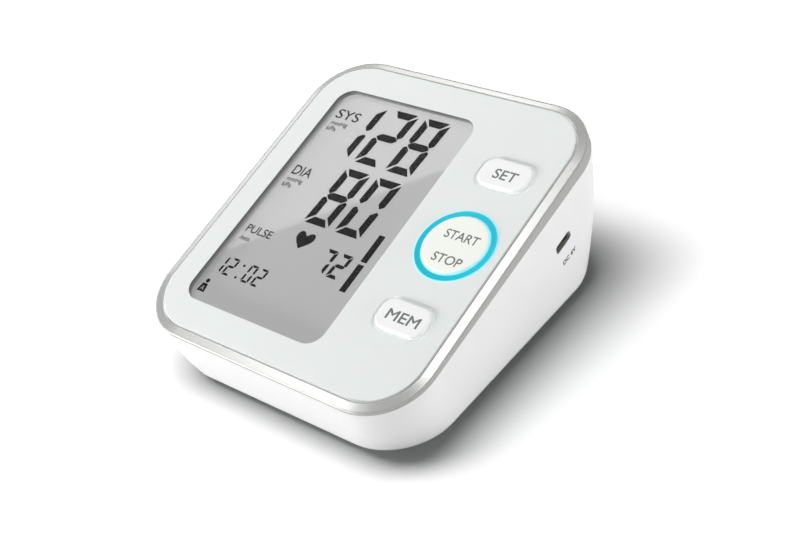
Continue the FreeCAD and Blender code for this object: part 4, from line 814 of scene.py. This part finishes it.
@dataclass(frozen=True)
class CircuitBoard(Finish):
    """Glass-epoxy board under green solder mask. The eye sees paler tracks in rows through the glossy
    mask and the fine weave of the glass."""

    track: str = "#2E8A58"
    track_mm: float = 0.25
    pitch_mm: float = 2.54
    weave_mm: float = 0.4
    relief: Pair = (0.08, 0.02)
    coat_weight: float = 0.4

    def dress(self, blank: Blank) -> None:
        """Tracks from a brick layout, weave as fine relief.

        Args:
            blank: the material being made.
        """
        mask = linear(self.colour)
        rows = put(blank.tree, "TexBrick",
                   {"Vector": blank.place, "Color1": mask, "Color2": mask, "Mortar": linear(self.track),
                    "Scale": 1.0, "Mortar Size": self.track_mm * MM, "Brick Width": 4 * self.pitch_mm * MM,
                    "Row Height": self.pitch_mm * MM})
        weave = put(blank.tree, "TexChecker", {"Vector": blank.place, "Scale": 1 / (self.weave_mm * MM)})
        blank.feed({"Base Color": rows.outputs["Color"], "Coat Weight": self.coat_weight,
                    "Normal": blank.bump(weave.outputs["Fac"], *self.relief)})


@dataclass(frozen=True)
class WoundWire(Finish):
    """Enamelled copper wire in even turns. The eye sees fine parallel ridges with a warm gloss."""

    between: str = "#6E3418"
    wire_mm: float = 0.35
    relief: Pair = (0.7, 0.1)
    metallic: float = 0.8

    def dress(self, blank: Blank) -> None:
        """Ridges across the coil's axis, which lies along Y; a wave of scale 1 repeats each 0.314.

        Args:
            blank: the material being made.
        """
        turns = put(blank.tree, "TexWave", {"Vector": blank.place, "Scale": 0.314 / (self.wire_mm * MM)},
                    wave_type="BANDS", bands_direction="Y").outputs["Fac"]
        blank.feed({"Base Color": blank.mix(turns, self.between, self.colour),
                    "Normal": blank.bump(turns, *self.relief), "Metallic": self.metallic})


@dataclass(frozen=True)
class CellSleeve(Finish):
    """Printed shrink sleeve on a pencil cell. The eye sees a dark glossy body and bare metal at both
    ends."""

    metal: str = "#C9C6C0"
    middle_y: float = 0.0
    half_mm: float = 24.0
    crinkle_mm: float = 2.0
    relief: Pair = (0.1, 0.05)

    def dress(self, blank: Blank) -> None:
        """Sleeve in the middle, metal beyond it.

        Args:
            blank: the material being made.
        """
        split = put(blank.tree, "SeparateXYZ", {"Vector": blank.place}).outputs
        away = blank.math("ABSOLUTE", blank.math("SUBTRACT", split["Y"], self.middle_y))
        end = blank.math("GREATER_THAN", away, self.half_mm * MM)
        blank.feed({"Base Color": blank.mix(end, self.colour, self.metal), "Metallic": end,
                    "Normal": blank.bump(blank.noise(self.crinkle_mm, 2.0), *self.relief)})


# ---- words and signs --------------------------------------------------------------------------------

@dataclass
class Word:
    """A printed word, fitted to the box it fills."""

    name: str
    text: str
    left: float
    right: float
    low: float
    high: float
    weight: float = 0.012

    def build(self) -> Piece:
        """Set the word flat, convert it to a mesh and fit it to its box.

        Returns:
            The mesh, lying flat in millimetres turned to metres.
        """
        nothing_selected()
        bpy.ops.object.text_add()
        written = bpy.context.object.data
        written.body = self.text
        written.resolution_u = 6
        written.extrude = 0.001
        written.bevel_depth = self.weight
        written.bevel_resolution = 0
        bpy.ops.object.convert(target="MESH")
        mesh = bpy.context.object
        spots = [v.co for v in mesh.data.vertices]
        low = Vector([min(p[i] for p in spots) for i in range(3)])
        high = Vector([max(p[i] for p in spots) for i in range(3)])
        wide = (self.right - self.left) * MM / (high.x - low.x)
        tall = (self.high - self.low) * MM / (high.y - low.y)
        thick = FILM_MM * MM / (high.z - low.z)
        fit = Matrix.Diagonal((wide, tall, thick, 1.0)) @ Matrix.Translation(-low)
        mesh.data.transform(Matrix.Translation((self.left * MM, self.low * MM, 0.0)) @ fit)
        edit_all()
        bpy.ops.mesh.remove_doubles(threshold=0.001 * MM)
        bpy.ops.object.mode_set(mode="OBJECT")
        mesh.name = self.name
        mesh.data.name = self.name
        nothing_selected()
        return mesh


class Bar(Enum):
    """The seven bars of a digit."""

    TOP = "a"
    UPPER_RIGHT = "b"
    LOWER_RIGHT = "c"
    BOTTOM = "d"
    LOWER_LEFT = "e"
    UPPER_LEFT = "f"
    MIDDLE = "g"


MIRRORED = {Bar.UPPER_LEFT: Bar.UPPER_RIGHT, Bar.LOWER_LEFT: Bar.LOWER_RIGHT}


@dataclass
class SevenBars:
    """One size of seven-bar digits, modelled once and copied for each digit."""

    width: float
    height: float
    stroke: float
    gap: float
    slant: float

    DIGITS = {"0": "abcdef", "1": "bc", "2": "abged", "7": "abc", "8": "abcdefg"}

    def bar(self, which: Bar) -> Piece:
        """Model one bar: a strip with its ends cut to points or mitres.

        Args:
            which: the bar.

        Returns:
            The flat bar, with the digit's lower left corner at the origin.
        """
        w, h, t = self.width, self.height, self.stroke
        x, y, wide, tall = {
            Bar.TOP: (w / 2, h - t / 2, w, t), Bar.BOTTOM: (w / 2, t / 2, w, t),
            Bar.MIDDLE: (w / 2, h / 2, w, t), Bar.UPPER_RIGHT: (w - t / 2, h * 0.75, t, h / 2),
            Bar.LOWER_RIGHT: (w - t / 2, h * 0.25, t, h / 2),
        }[which]
        strip = flat_strip(x, y, wide, tall)
        bpy.ops.object.mode_set(mode="EDIT")
        middle = Vector((x, y))
        for start, end in self.cuts(which):
            across = (Vector(end) - Vector(start)).orthogonal()
            out = across if across.dot(middle - Vector(start)) < 0 else -across
            bpy.ops.mesh.select_all(action="SELECT")
            bpy.ops.mesh.bisect(plane_co=(start[0] * MM, start[1] * MM, 0.0),
                                plane_no=(*out.normalized(), 0.0), clear_outer=True)
        return thickened(strip)

    def cuts(self, which: Bar) -> list[tuple[Pair, Pair]]:
        """Cuts that free a bar from its neighbours, as shares of the gap and the stroke.

        Args:
            which: the bar.

        Returns:
            Two points on each cut.
        """
        w, h, t, g = self.width, self.height, self.stroke, self.gap
        half, corner = h / 2, 0.6 * self.gap
        if which in (Bar.TOP, Bar.BOTTOM):
            outer, inner, share = (h, h - t, 0.75) if which is Bar.TOP else (0, t, 0.77)
            reach = corner + share * t
            return [((corner, outer), (reach, inner)), ((w - corner, outer), (w - reach, inner))]
        if which is Bar.MIDDLE:
            tips = ((0.65 * g, 1), (w - 0.65 * g, -1))
            points = [((x, half), (x + way * 0.55 * t, half + s * t / 2))
                      for x, way in tips for s in (-1, 1)]
            return points + [((0, half + s * 0.47 * t), (w, half + s * 0.47 * t)) for s in (-1, 1)]
        if which is Bar.UPPER_RIGHT:
            low = half + 0.5 * g
            tip = (w - 0.5 * t, low)
            return [((w, h - corner), (w - t, h - corner - 0.9 * t)), (tip, (w - t, low + 0.6 * t)),
                    (tip, (w, low + 0.4 * t)), ((w, h - 0.75 * g), (w - 0.2 * t, h))]
        high = half - 0.5 * g
        tip = (w - 0.38 * t, high)
        return [((w, corner), (w - t, corner + t)), (tip, (w - t, high - 0.55 * t)),
                (tip, (w, high - 0.25 * t))]

    def write(self, text: str, places: list[float], low: float, name: str) -> Piece:
        """Write digits.

        Args:
            text: the digits.
            places: left edge of each digit at the base line, before the slant.
            low: base line.
            name: name of the result.

        Returns:
            The digits as one flat mesh.
        """
        bars = {bar.value: self.bar(bar) for bar in Bar if bar not in MIRRORED}
        mirror = Matrix.Translation((self.width * MM, 0, 0)) @ Matrix.Diagonal((-1, 1, 1, 1))
        for left, right in MIRRORED.items():
            twin = copied(bars[right.value], Vector())
            twin.data.transform(mirror)
            twin.data.flip_normals()
            bars[left.value] = twin
        made = [copied(bars[key], Vector((x, low, 0.0)) * MM)
                for digit, x in zip(text, places) for key in self.DIGITS[digit]]
        for spare in bars.values():
            bpy.data.objects.remove(spare)
        row = joined(made, name)
        row.data.transform(Matrix(((1, self.slant, 0, 0), (0, 1, 0, 0), (0, 0, 1, 0), (0, 0, 0, 1))))
        return row


# ---- sub-assemblies ---------------------------------------------------------------------------------

@dataclass
class Monitor:
    """What every sub-assembly shares: the nodes, the face and a way to report."""

    face: FaceFrame
    nudge: Pair = (0.0, 0.0)

    def node(self, name: str) -> Piece:
        """The solid model's piece of that name."""
        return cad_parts[name]

    def coat(self, finish: Finish, *names: str) -> None:
        """Give a finish to pieces of the solid model.

        Args:
            finish: the finish.
            *names: the pieces.
        """
        for name in names:
            finish.coat(self.node(name))
            LOG.info("%s: %s", name, finish.name)

    def mount(self, piece: Piece, finish: Finish, body: str, slot: str) -> None:
        """Finish a new piece and let it ride.

        Args:
            piece: the new piece, in place.
            finish: its finish.
            body: the body it moves with.
            slot: the name of a slot; not used.
        """
        finish.coat(piece)
        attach(piece, body)
        LOG.info("%s: %s, on %s", piece.name, finish.name, body)

    def on_face(self, piece: Piece, n: float) -> Piece:
        """Lay a flat drawing on the face, n millimetres out of it."""
        piece.data.transform(self.face.matrix(*self.nudge, n))
        return piece


@dataclass
class CaseShell(Monitor):
    """Lower case, trim, panel, feet, door and screws."""

    def build(self) -> None:
        """Dress the shell."""
        for finish, names in (
            (MouldedPlastic("white_abs_satin", "#EEEEEE", 0.42, "#E9E9E9"),
             ("lower_housing", "battery_door")),
            (PanelPlastic("pale_grey_abs", "#E0E4E3", 0.36, "#DDE0DF", face=self.face), ("face_panel",)),
            (SilverLacquer("silver_lacquered_abs", "#9B9C9A", 0.25, self.face), ("trim_ring",)),
            (Elastomer("black_foot_rubber", "#2B2B2B", 0.8), ("rubber_feet",)),
            (SheetMetal("zinc_plated_steel", "#BFC2C4", 0.32), ("case_screws", "board_screws")),
        ):
            self.coat(finish, *names)


@dataclass
class Display(Monitor):
    """Window lens, liquid-crystal glass and its signs."""

    nudge: Pair = (0.25, -0.31)
    sign_level: float = -3.48
    corner: float = 0.12
    bar_x: float = 22.05
    bar_width: float = 2.5
    dots_x: float = -18.7
    dot_radius: float = 0.5
    heart_low: Pair = (-4.4, -16.0)
    heart_size: Pair = (7.5, 6.9)
    head: Point = (-27.8, -38.25, 0.85)
    trunk: Pair = (-27.85, -41.05)
    trunk_size: Pair = (3.4, 3.3)
    trunk_taper: float = 0.34

    def build(self) -> None:
        """Dress the layers and draw the signs."""
        for finish, name in (
            (ClearAcrylic("clear_acrylic", "#2A2C2C", 0.06, 0.03), "display_lens"),
            (DisplayGlass("liquid_crystal_glass", "#B8B8B8", 0.03, self.face), "lcd_glass"),
            (SheetMetal("reflector_foil", "#D8D8D6", 0.3), "lcd_reflector"),
            (MouldedPlastic("white_polycarbonate_tray", "#D9DAD8", 0.5, "#D2D3D1"), "lcd_frame"),
            (Elastomer("zebra_strip_rubber", "#C99AA0", 0.7, "#5A4A4C"), "contact_strips"),
        ):
            self.coat(finish, name)
        self.signs()

    def signs(self) -> None:
        """Digits, words, heart, bars and user sign."""
        black = PrintedInk("switched_on_crystal", "#1A1A1A", 0.6, "#202020", gloss=0.05)
        grey = PrintedInk("printed_grey_legend", "#303030", 0.6, "#373737", gloss=0.05)
        clear = PrintedInk("switched_off_crystal", "#B0B0B0", 0.6, "#A8A8A8")
        big = SevenBars(10.95, 24.5, 2.95, 1.35, 0.056)
        small = SevenBars(4.9, 9.8, 1.35, 0.6, 0.06)
        thin = SevenBars(3.4, 7.2, 0.85, 0.45, 0.06)
        for row in (
            big.write("128", [-23.9, -9.95, 3.95], 22.1, "systolic_digits"),
            big.write("80", [-9.85, 4.0], -5.7, "diastolic_digits"),
            small.write("72", [7.4, 13.7], -21.95, "pulse_digits"),
            thin.write("1202", [-27.6, -23.2, -14.3, -9.75], -34.3, "clock_digits"),
            self.bars(), self.heart(), self.colon(), self.user(),
        ):
            self.mount(self.on_face(row, self.sign_level), black, "case", "display_glass")
        for word in (
            Word("systolic_word", "SYS", -28.9, -18.6, 37.2, 41.4, 0.008),
            Word("systolic_unit", "mmHg", -28.6, -21.1, 33.6, 35.9),
            Word("systolic_unit_si", "kPa", -28.8, -24.5, 31.4, 33.4),
            Word("diastolic_word", "DIA", -28.7, -20.3, 10.3, 14.4, 0.009),
            Word("diastolic_unit", "mmHg", -28.6, -21.4, 6.8, 9.1),
            Word("diastolic_unit_si", "kPa", -28.8, -24.7, 4.6, 6.6),
            Word("pulse_word", "PULSE", -28.9, -17.3, -16.4, -13.2, 0.01),
            Word("pulse_unit", "/min", -28.9, -24.4, -19.9, -18.0),
        ):
            self.mount(self.on_face(word.build(), self.sign_level), grey, "case", "display_glass")
        letter = Word("user_letter", "A", -28.6, -27.1, -42.1, -40.4, 0.03).build()
        self.mount(self.on_face(letter, self.sign_level + 1.5 * FILM_MM), clear, "case", "display_glass")

    def plate(self, x: float, y: float, wide: float, tall: float) -> Piece:
        """A flat plate with slightly softened corners.

        Args:
            x: its middle in millimetres.
            y: its middle in millimetres.
            wide: its width in millimetres.
            tall: its height in millimetres.

        Returns:
            The plate.
        """
        made = flat_strip(x, y, wide, tall)
        edit_all()
        bpy.ops.mesh.bevel(offset=self.corner * MM, segments=2, affect="VERTICES")
        return thickened(made)

    def disc(self, x: float, y: float, radius: float, sides: int = 24) -> Piece:
        """A flat round spot.

        Args:
            x: its middle in millimetres.
            y: its middle in millimetres.
            radius: its radius in millimetres.
            sides: its number of sides.

        Returns:
            The spot.
        """
        nothing_selected()
        bpy.ops.mesh.primitive_circle_add(vertices=sides, radius=radius * MM, fill_type="NGON",
                                          location=(x * MM, y * MM, 0.0))
        bpy.ops.object.transform_apply(location=True, rotation=False, scale=False)
        return thickened(bpy.context.object)

    def bars(self) -> Piece:
        """Draw the two long bars of the pressure scale at the right.

        Returns:
            The bars.
        """
        rows = ((-7.2, 11.2), (-19.4, 11.1))
        return joined([self.plate(self.bar_x, y, self.bar_width, tall) for y, tall in rows], "scale_bars")

    def colon(self) -> Piece:
        """The clock's two dots."""
        dots = [self.disc(self.dots_x, y, self.dot_radius, 16) for y in (-28.6, -33.6)]
        return joined(dots, "clock_dots")

    def heart(self) -> Piece:
        """Draw the heart sign: a round outline pulled to a point below and pressed in at the top.

        Returns:
            The sign.
        """
        nothing_selected()
        bpy.ops.mesh.primitive_circle_add(vertices=64, radius=1.0, fill_type="NGON",
                                          location=(0.0, 0.0, 0.0))
        made = bpy.context.object
        for spot in made.data.vertices:
            turn = math.atan2(spot.co.x, spot.co.y)
            # The usual heart curve, 32 wide and 29 high with its point at -17, a little fuller below.
            across = 16 * math.sin(turn) * abs(math.sin(turn)) ** 1.1
            up = 13 * math.cos(turn) - 5 * math.cos(2 * turn) - 2 * math.cos(3 * turn) - math.cos(4 * turn)
            spot.co = Vector((across / 32 * self.heart_size[0] + self.heart_low[0],
                              (up + 17) / 29 * self.heart_size[1] + self.heart_low[1], 0.0)) * MM
        made.name = "heart_sign"
        return thickened(made)

    def user(self) -> Piece:
        """Draw the small sign for the chosen user: a head over shoulders that widen downwards.

        Returns:
            The sign.
        """
        trunk = self.plate(*self.trunk, *self.trunk_size)
        middle, tall = self.trunk[0], self.trunk_size[1]
        for spot in trunk.data.vertices:
            rise = (spot.co.y / MM - self.trunk[1]) / tall + 0.5
            spot.co.x = (middle + (spot.co.x / MM - middle) * (1.0 - self.trunk_taper * rise)) * MM
        return joined([self.disc(*self.head), trunk], "user_sign")


@dataclass
class Keys(Monitor):
    """The three keys, their words, the lit ring and what is under them."""

    top: float = 0.9

    def build(self) -> None:
        """Dress keys and ring, print the words."""
        for finish, names in (
            (GapLitPlastic("key_white_abs", "#F0F1F0", 0.35, "#ECEDEC", Surface.POLISHED, face=self.face),
             ("set_key", "memory_key")),
            (RingLitPlastic("ring_lit_key_abs", "#F1F4EC", 0.35, "#EDF0E8", Surface.POLISHED,
                            face=self.face, glow="#CFF8FC", edge_mm=11.2, fade_mm=-0.9), ("start_key",)),
            (LitAcrylic("blue_lit_acrylic", "#14C0D6", 0.25, self.face.moved(*RING_MIDDLE)),
             ("light_ring",)),
            (PrintedInk("lamp_lens_epoxy", "#F2F4E8", 0.3, "#E6E8DA"), ("ring_leds",)),
            (MouldedPlastic("black_switch_nylon", "#232425", 0.5, "#2B2C2D"), ("key_switches",)),
            (MouldedPlastic("grey_plunger_acetal", "#9A9B9A", 0.4, "#8E8F8E"),
             ("set_plunger", "start_plunger", "memory_plunger")),
        ):
            self.coat(finish, *names)
        ink = PrintedInk("grey_key_print", "#6B6E6D", 0.5, "#747776")
        for word, body in (
            (Word("set_word", "SET", 47.55, 56.35, 27.9, 31.8), "set_key"),
            (Word("memory_word", "MEM", 45.65, 57.95, -30.3, -26.5), "memory_key"),
            (Word("start_word", "START", 45.75, 58.55, 2.4, 5.8, 0.01), "start_key"),
            (Word("stop_word", "STOP", 46.85, 57.85, -6.6, -3.2, 0.01), "start_key"),
        ):
            self.mount(self.on_face(word.build(), self.top), ink, body, "key_white")


@dataclass
class AirAndPower(Monitor):
    """Cuff socket in the left wall, power inlet in the right one with its mark."""

    mark_width: Pair = (-2.8, 4.6)
    mark_height: Pair = (-8.8, -6.9)
    wall_draft: float = math.radians(12.74)
    start_x: float = 0.07

    def build(self) -> None:
        """Dress both and print the mark by the inlet."""
        self.coat(MouldedPlastic("grey_socket_abs", "#C9CBCA", 0.4, "#C2C4C3"), "air_socket")
        # The shell's tin plate is painted darker as shade inside the slot, and the tongue is given a
        # painted glow so that it looks pale.
        self.coat(SheetMetal("tin_plated_steel_painted_shade", "#7B7A76", 0.4), "usb_shell")
        self.coat(MouldedPlastic("pale_lcp_insulator", "#CFCCC2", 0.5, "#C8C5BB", painted_glow_strength=0.35),
                  "usb_tongue")
        self.mark()

    def mark(self) -> None:
        """Print the supply voltage on the wall in front of the inlet, thrown on it from outside."""
        low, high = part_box("usb_shell")
        middle = (low + high) / 2
        word = Word("inlet_mark", "DC 6V", *self.mark_width, *self.mark_height, 0.035).build()
        tilt = Matrix.Rotation(self.wall_draft, 4, "X")
        stand = Matrix.Rotation(math.radians(90), 4, "Z") @ Matrix.Rotation(math.radians(90), 4, "X")
        word.data.transform(Matrix.Translation((self.start_x, middle.y, middle.z)) @ tilt @ stand)
        wrap = word.modifiers.new("wall", "SHRINKWRAP")
        wrap.target = self.node("lower_housing")
        wrap.wrap_method = "PROJECT"
        wrap.use_project_x = True
        wrap.use_negative_direction = True
        wrap.use_positive_direction = False
        wrap.offset = FILM_MM * MM
        bpy.context.view_layer.objects.active = word
        bpy.ops.object.modifier_apply(modifier=wrap.name)
        self.mount(word, PrintedInk("grey_wall_print", "#5D5F5E", 0.5, "#656766"), "case", "case_white")


@dataclass
class Inside(Monitor):
    """Everything behind the shell."""

    def build(self) -> None:
        """Dress board, pump, valve, cells and wiring."""
        low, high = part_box("cells")
        for finish, names in (
            (CircuitBoard("green_masked_fr4", "#24493A", 0.35), ("main_board", "usb_board")),
            (MouldedPlastic("black_epoxy_package", "#1D1E1F", 0.45, "#252627"),
             ("processor", "pressure_sensor", "buzzer")),
            (MouldedPlastic("tan_capacitor_ceramic", "#B08D62", 0.5, "#A28158", Surface.POLISHED),
             ("board_chips",)),
            (CellSleeve("printed_cell_sleeve", "#20242A", 0.3, middle_y=(low.y + high.y) / 2), ("cells",)),
            (SheetMetal("nickel_plated_spring_steel", "#C6C3BB", 0.25),
             ("contact_plates", "contact_springs")),
            (SheetMetal("drawn_motor_steel", "#A9ACAE", 0.35),
             ("motor_can", "motor_rotor", "pump_straps", "valve_yoke")),
            (MouldedPlastic("black_motor_cap_nylon", "#26272A", 0.5, "#2E2F32"), ("motor_cap",)),
            (MouldedPlastic("natural_acetal", "#E3E1D9", 0.42, "#DBD8CF"),
             ("pump_head", "pump_cover", "socket_nut", "air_manifold", "valve_nozzle")),
            (Elastomer("black_epdm_rubber", "#2A2A2B", 0.75), ("pump_diaphragm", "pump_rings")),
            (Elastomer("clear_silicone_tube", "#D9DCDA", 0.35, "#C6C9C6", 0.3),
             ("socket_tube", "pump_tube", "sensor_tube", "valve_tube")),
            (WoundWire("enamelled_copper_wire", "#B8693A", 0.3), ("valve_coil",)),
            (SheetMetal("ground_plunger_steel", "#B4B7B9", 0.22, 0.1, (12.0, 1.0, 12.0)),
             ("valve_plunger",)),
            (Elastomer("red_pvc_insulation", "#A3221F", 0.4, "#7E1B19"), ("battery_leads", "usb_leads")),
            (Elastomer("black_pvc_insulation", "#1F1F20", 0.4, "#333334"), ("motor_leads", "valve_leads")),
        ):
            self.coat(finish, *names)


# ---- studio -----------------------------------------------------------------------------------------

@dataclass(frozen=True)
class SoftLight:
    """A soft rectangular light: its width and height in metres and its power in watts."""

    name: str
    size: Pair
    power: float

    def build(self) -> Piece:
        """Make the light at the origin.

        Returns:
            The light.
        """
        data = bpy.data.lights.new(self.name, "AREA")
        data.shape = "RECTANGLE"
        data.size, data.size_y = self.size
        data.energy = self.power
        light = bpy.data.objects.new(self.name, data)
        bpy.context.scene.collection.objects.link(light)
        return light

    def hang(self, place: Point) -> Piece:
        """Hang the light so that it looks at the monitor.

        Args:
            place: where it hangs.

        Returns:
            The light.
        """
        light = self.build()
        light.location = place
        light.rotation_euler = (Vector(LIT_PLACE) - Vector(place)).to_track_quat("-Z", "Y").to_euler()
        return light


@dataclass
class Studio:
    """Pale floor, soft light and the camera."""

    face: FaceFrame
    floor_half: float = 4.0
    floor_seen: float = 1.55
    lift_from: float = 0.08
    lift_to: float = 0.4
    lift: float = 0.8
    sky: float = 0.07
    card_size: Pair = (0.6, 0.3)
    card_way: Pair = (0.7225, 0.6913)
    card_height: float = 796.5
    card_edge: Pair = (-756.0, 439.0)
    card_radiance: float = 2.7
    camera_place: Point = (0.27591, -0.23924, 0.29542)
    camera_right: Point = (0.76045, 0.61724, -0.20181)
    camera_up: Point = (-0.26611, 0.57967, 0.77017)
    camera_lens: float = 62.22

    def build(self) -> None:
        """Make floor, light and camera."""
        floor = self.floor()
        self.world()
        SoftLight("key_softbox", (0.76, 1.69), 28.8).hang((-0.38, -0.25, 2.0)).visible_glossy = False
        sides = [SoftLight("front_softbox", (0.9, 0.22), 14.2).hang((-0.72, -0.96, 0.12)),
                 SoftLight("right_softbox", (0.9, 0.22), 8.5).hang((1.1, 0.22, 0.12))]
        self.keep_off_floor(sides, floor)
        for card, place in (  # each is only seen as a highlight on one side of the trim's bevel
            (SoftLight("right_bevel_card", (0.32, 0.62), 3.1), (-0.165, 0.20, 1.08)),
            (SoftLight("front_bevel_card", (0.5, 0.3), 2.7), (-0.65, -0.264, 0.847)),
            (SoftLight("rear_bevel_card", (0.5, 0.3), 1.9), (-0.65, 0.594, 0.66)),
            (SoftLight("left_bevel_card", (0.3, 0.5), 0.7), (-0.957, 0.297, 0.45)),
        ):
            card.hang(place).visible_diffuse = False
        self.reflected_card()
        self.camera()

    def seen(self, tree: Tree) -> Socket:
        """Tell the rays that look at the surroundings from those that carry light.

        Args:
            tree: the nodes to add to.

        Returns:
            1 for a ray from the camera, a gloss or a clear piece, otherwise 0.
        """
        path = put(tree, "LightPath").outputs
        seen = path["Is Camera Ray"]
        for kind in ("Is Glossy Ray", "Is Transmission Ray"):
            seen = put(tree, "Math", {0: seen, 1: path[kind]}, operation="MAXIMUM").outputs["Value"]
        return seen

    def keep_off_floor(self, lamps: list[Piece], floor: Piece) -> None:
        """Flag the floor off from the low lamps and from the white walls' bounce, so the shadow stays,
        and keep the window's wall out of the display's reflections.

        Args:
            lamps: the lamps that only light the monitor.
            floor: the floor.
        """
        flagged = bpy.data.collections.new("flagged_off")
        flagged.objects.link(floor)
        flagged.collection_objects[0].light_linking.link_state = "EXCLUDE"
        for lamp in lamps:
            lamp.light_linking.receiver_collection = flagged
        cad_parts["lower_housing"].visible_diffuse = False
        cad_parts["face_panel"].visible_glossy = False

    def floor(self) -> Piece:
        """Make a white floor that stays white to the camera and keeps the shadow.

        Returns:
            The floor.
        """
        nothing_selected()
        bpy.ops.mesh.primitive_plane_add(size=2 * self.floor_half, location=(0.0, 0.0, 0.0))
        plane = bpy.context.object
        plane.name = "studio_floor"
        made = bpy.data.materials.new("white_paper_floor")
        tree = empty_tree(made)
        reach = put(tree, "VectorMath", {0: put(tree, "TexCoord").outputs["Object"]}, operation="LENGTH")
        far = put(tree, "MapRange", {"Value": reach.outputs["Value"], "From Min": self.lift_from,
                                     "From Max": self.lift_to, "To Min": 0.0, "To Max": self.lift})
        seen = self.seen(tree)
        lift = put(tree, "Math", {0: far.outputs["Result"], 1: seen}, operation="MULTIPLY")
        bright = (self.floor_seen, self.floor_seen, self.floor_seen, 1.0)
        white = put(tree, "Mix", {"Factor": seen, "A": linear("#F4F4F4"), "B": bright}, data_type="RGBA")
        paper = put(tree, "BsdfDiffuse", {"Color": white.outputs["Result"]})
        glow = put(tree, "Emission", {"Strength": lift.outputs["Value"], "Color": linear("#FFFFFF")})
        both = put(tree, "AddShader", {0: paper.outputs[0], 1: glow.outputs[0]})
        put(tree, "OutputMaterial", {"Surface": both.outputs[0]})
        plane.data.materials.append(made)
        return plane

    def world(self) -> None:
        """Even pale surroundings, white to look at and dim as light."""
        world = bpy.data.worlds.new("pale_studio")
        bpy.context.scene.world = world
        tree = empty_tree(world)
        level = put(tree, "MapRange", {"Value": self.seen(tree), "To Min": self.sky, "To Max": 1.0})
        sky = put(tree, "Background", {"Strength": level.outputs["Result"], "Color": linear("#FFFFFF")})
        put(tree, "OutputWorld", {"Surface": sky.outputs[0]})

    def reflected_card(self) -> None:
        """A bright card that only glossy surfaces see; its edge crosses the display as a diagonal."""
        wide, tall = self.card_size
        cosine, sine = self.card_way
        power = self.card_radiance * math.pi * wide * tall
        card = SoftLight("reflected_card", self.card_size, power).build()
        middle = Vector(self.card_edge) + Vector((-sine, cosine)) * tall / 2 / MM
        turn = Matrix.Rotation(math.atan2(sine, cosine), 4, "Z")
        card.matrix_world = self.face.matrix(middle.x, middle.y, self.card_height) @ turn
        card.visible_diffuse = False
        card.visible_camera = False

    def camera(self) -> None:
        """Camera at the viewer's place."""
        data = bpy.data.cameras.new("viewer")
        data.lens = self.camera_lens
        data.sensor_width = 36.0
        data.clip_start = 0.01
        camera = bpy.data.objects.new("viewer", data)
        right, up = Vector(self.camera_right), Vector(self.camera_up)
        turn = Matrix((right, up, right.cross(up))).transposed().to_4x4()
        camera.matrix_world = Matrix.Translation(self.camera_place) @ turn
        bpy.context.scene.collection.objects.link(camera)
        bpy.context.scene.camera = camera
        bpy.context.scene.view_settings.view_transform = "Standard"


def main() -> None:
    """Dress the monitor and set up the studio."""
    logging.basicConfig(level=logging.INFO, format="%(message)s")
    nothing_selected()
    face = FaceFrame.from_lens()
    for part in (CaseShell(face), Display(face), Keys(face), AirAndPower(face), Inside(face)):
        LOG.info("%s", type(part).__name__)
        part.build()
    Studio(face).build()


if __name__ == "__main__":
    main()
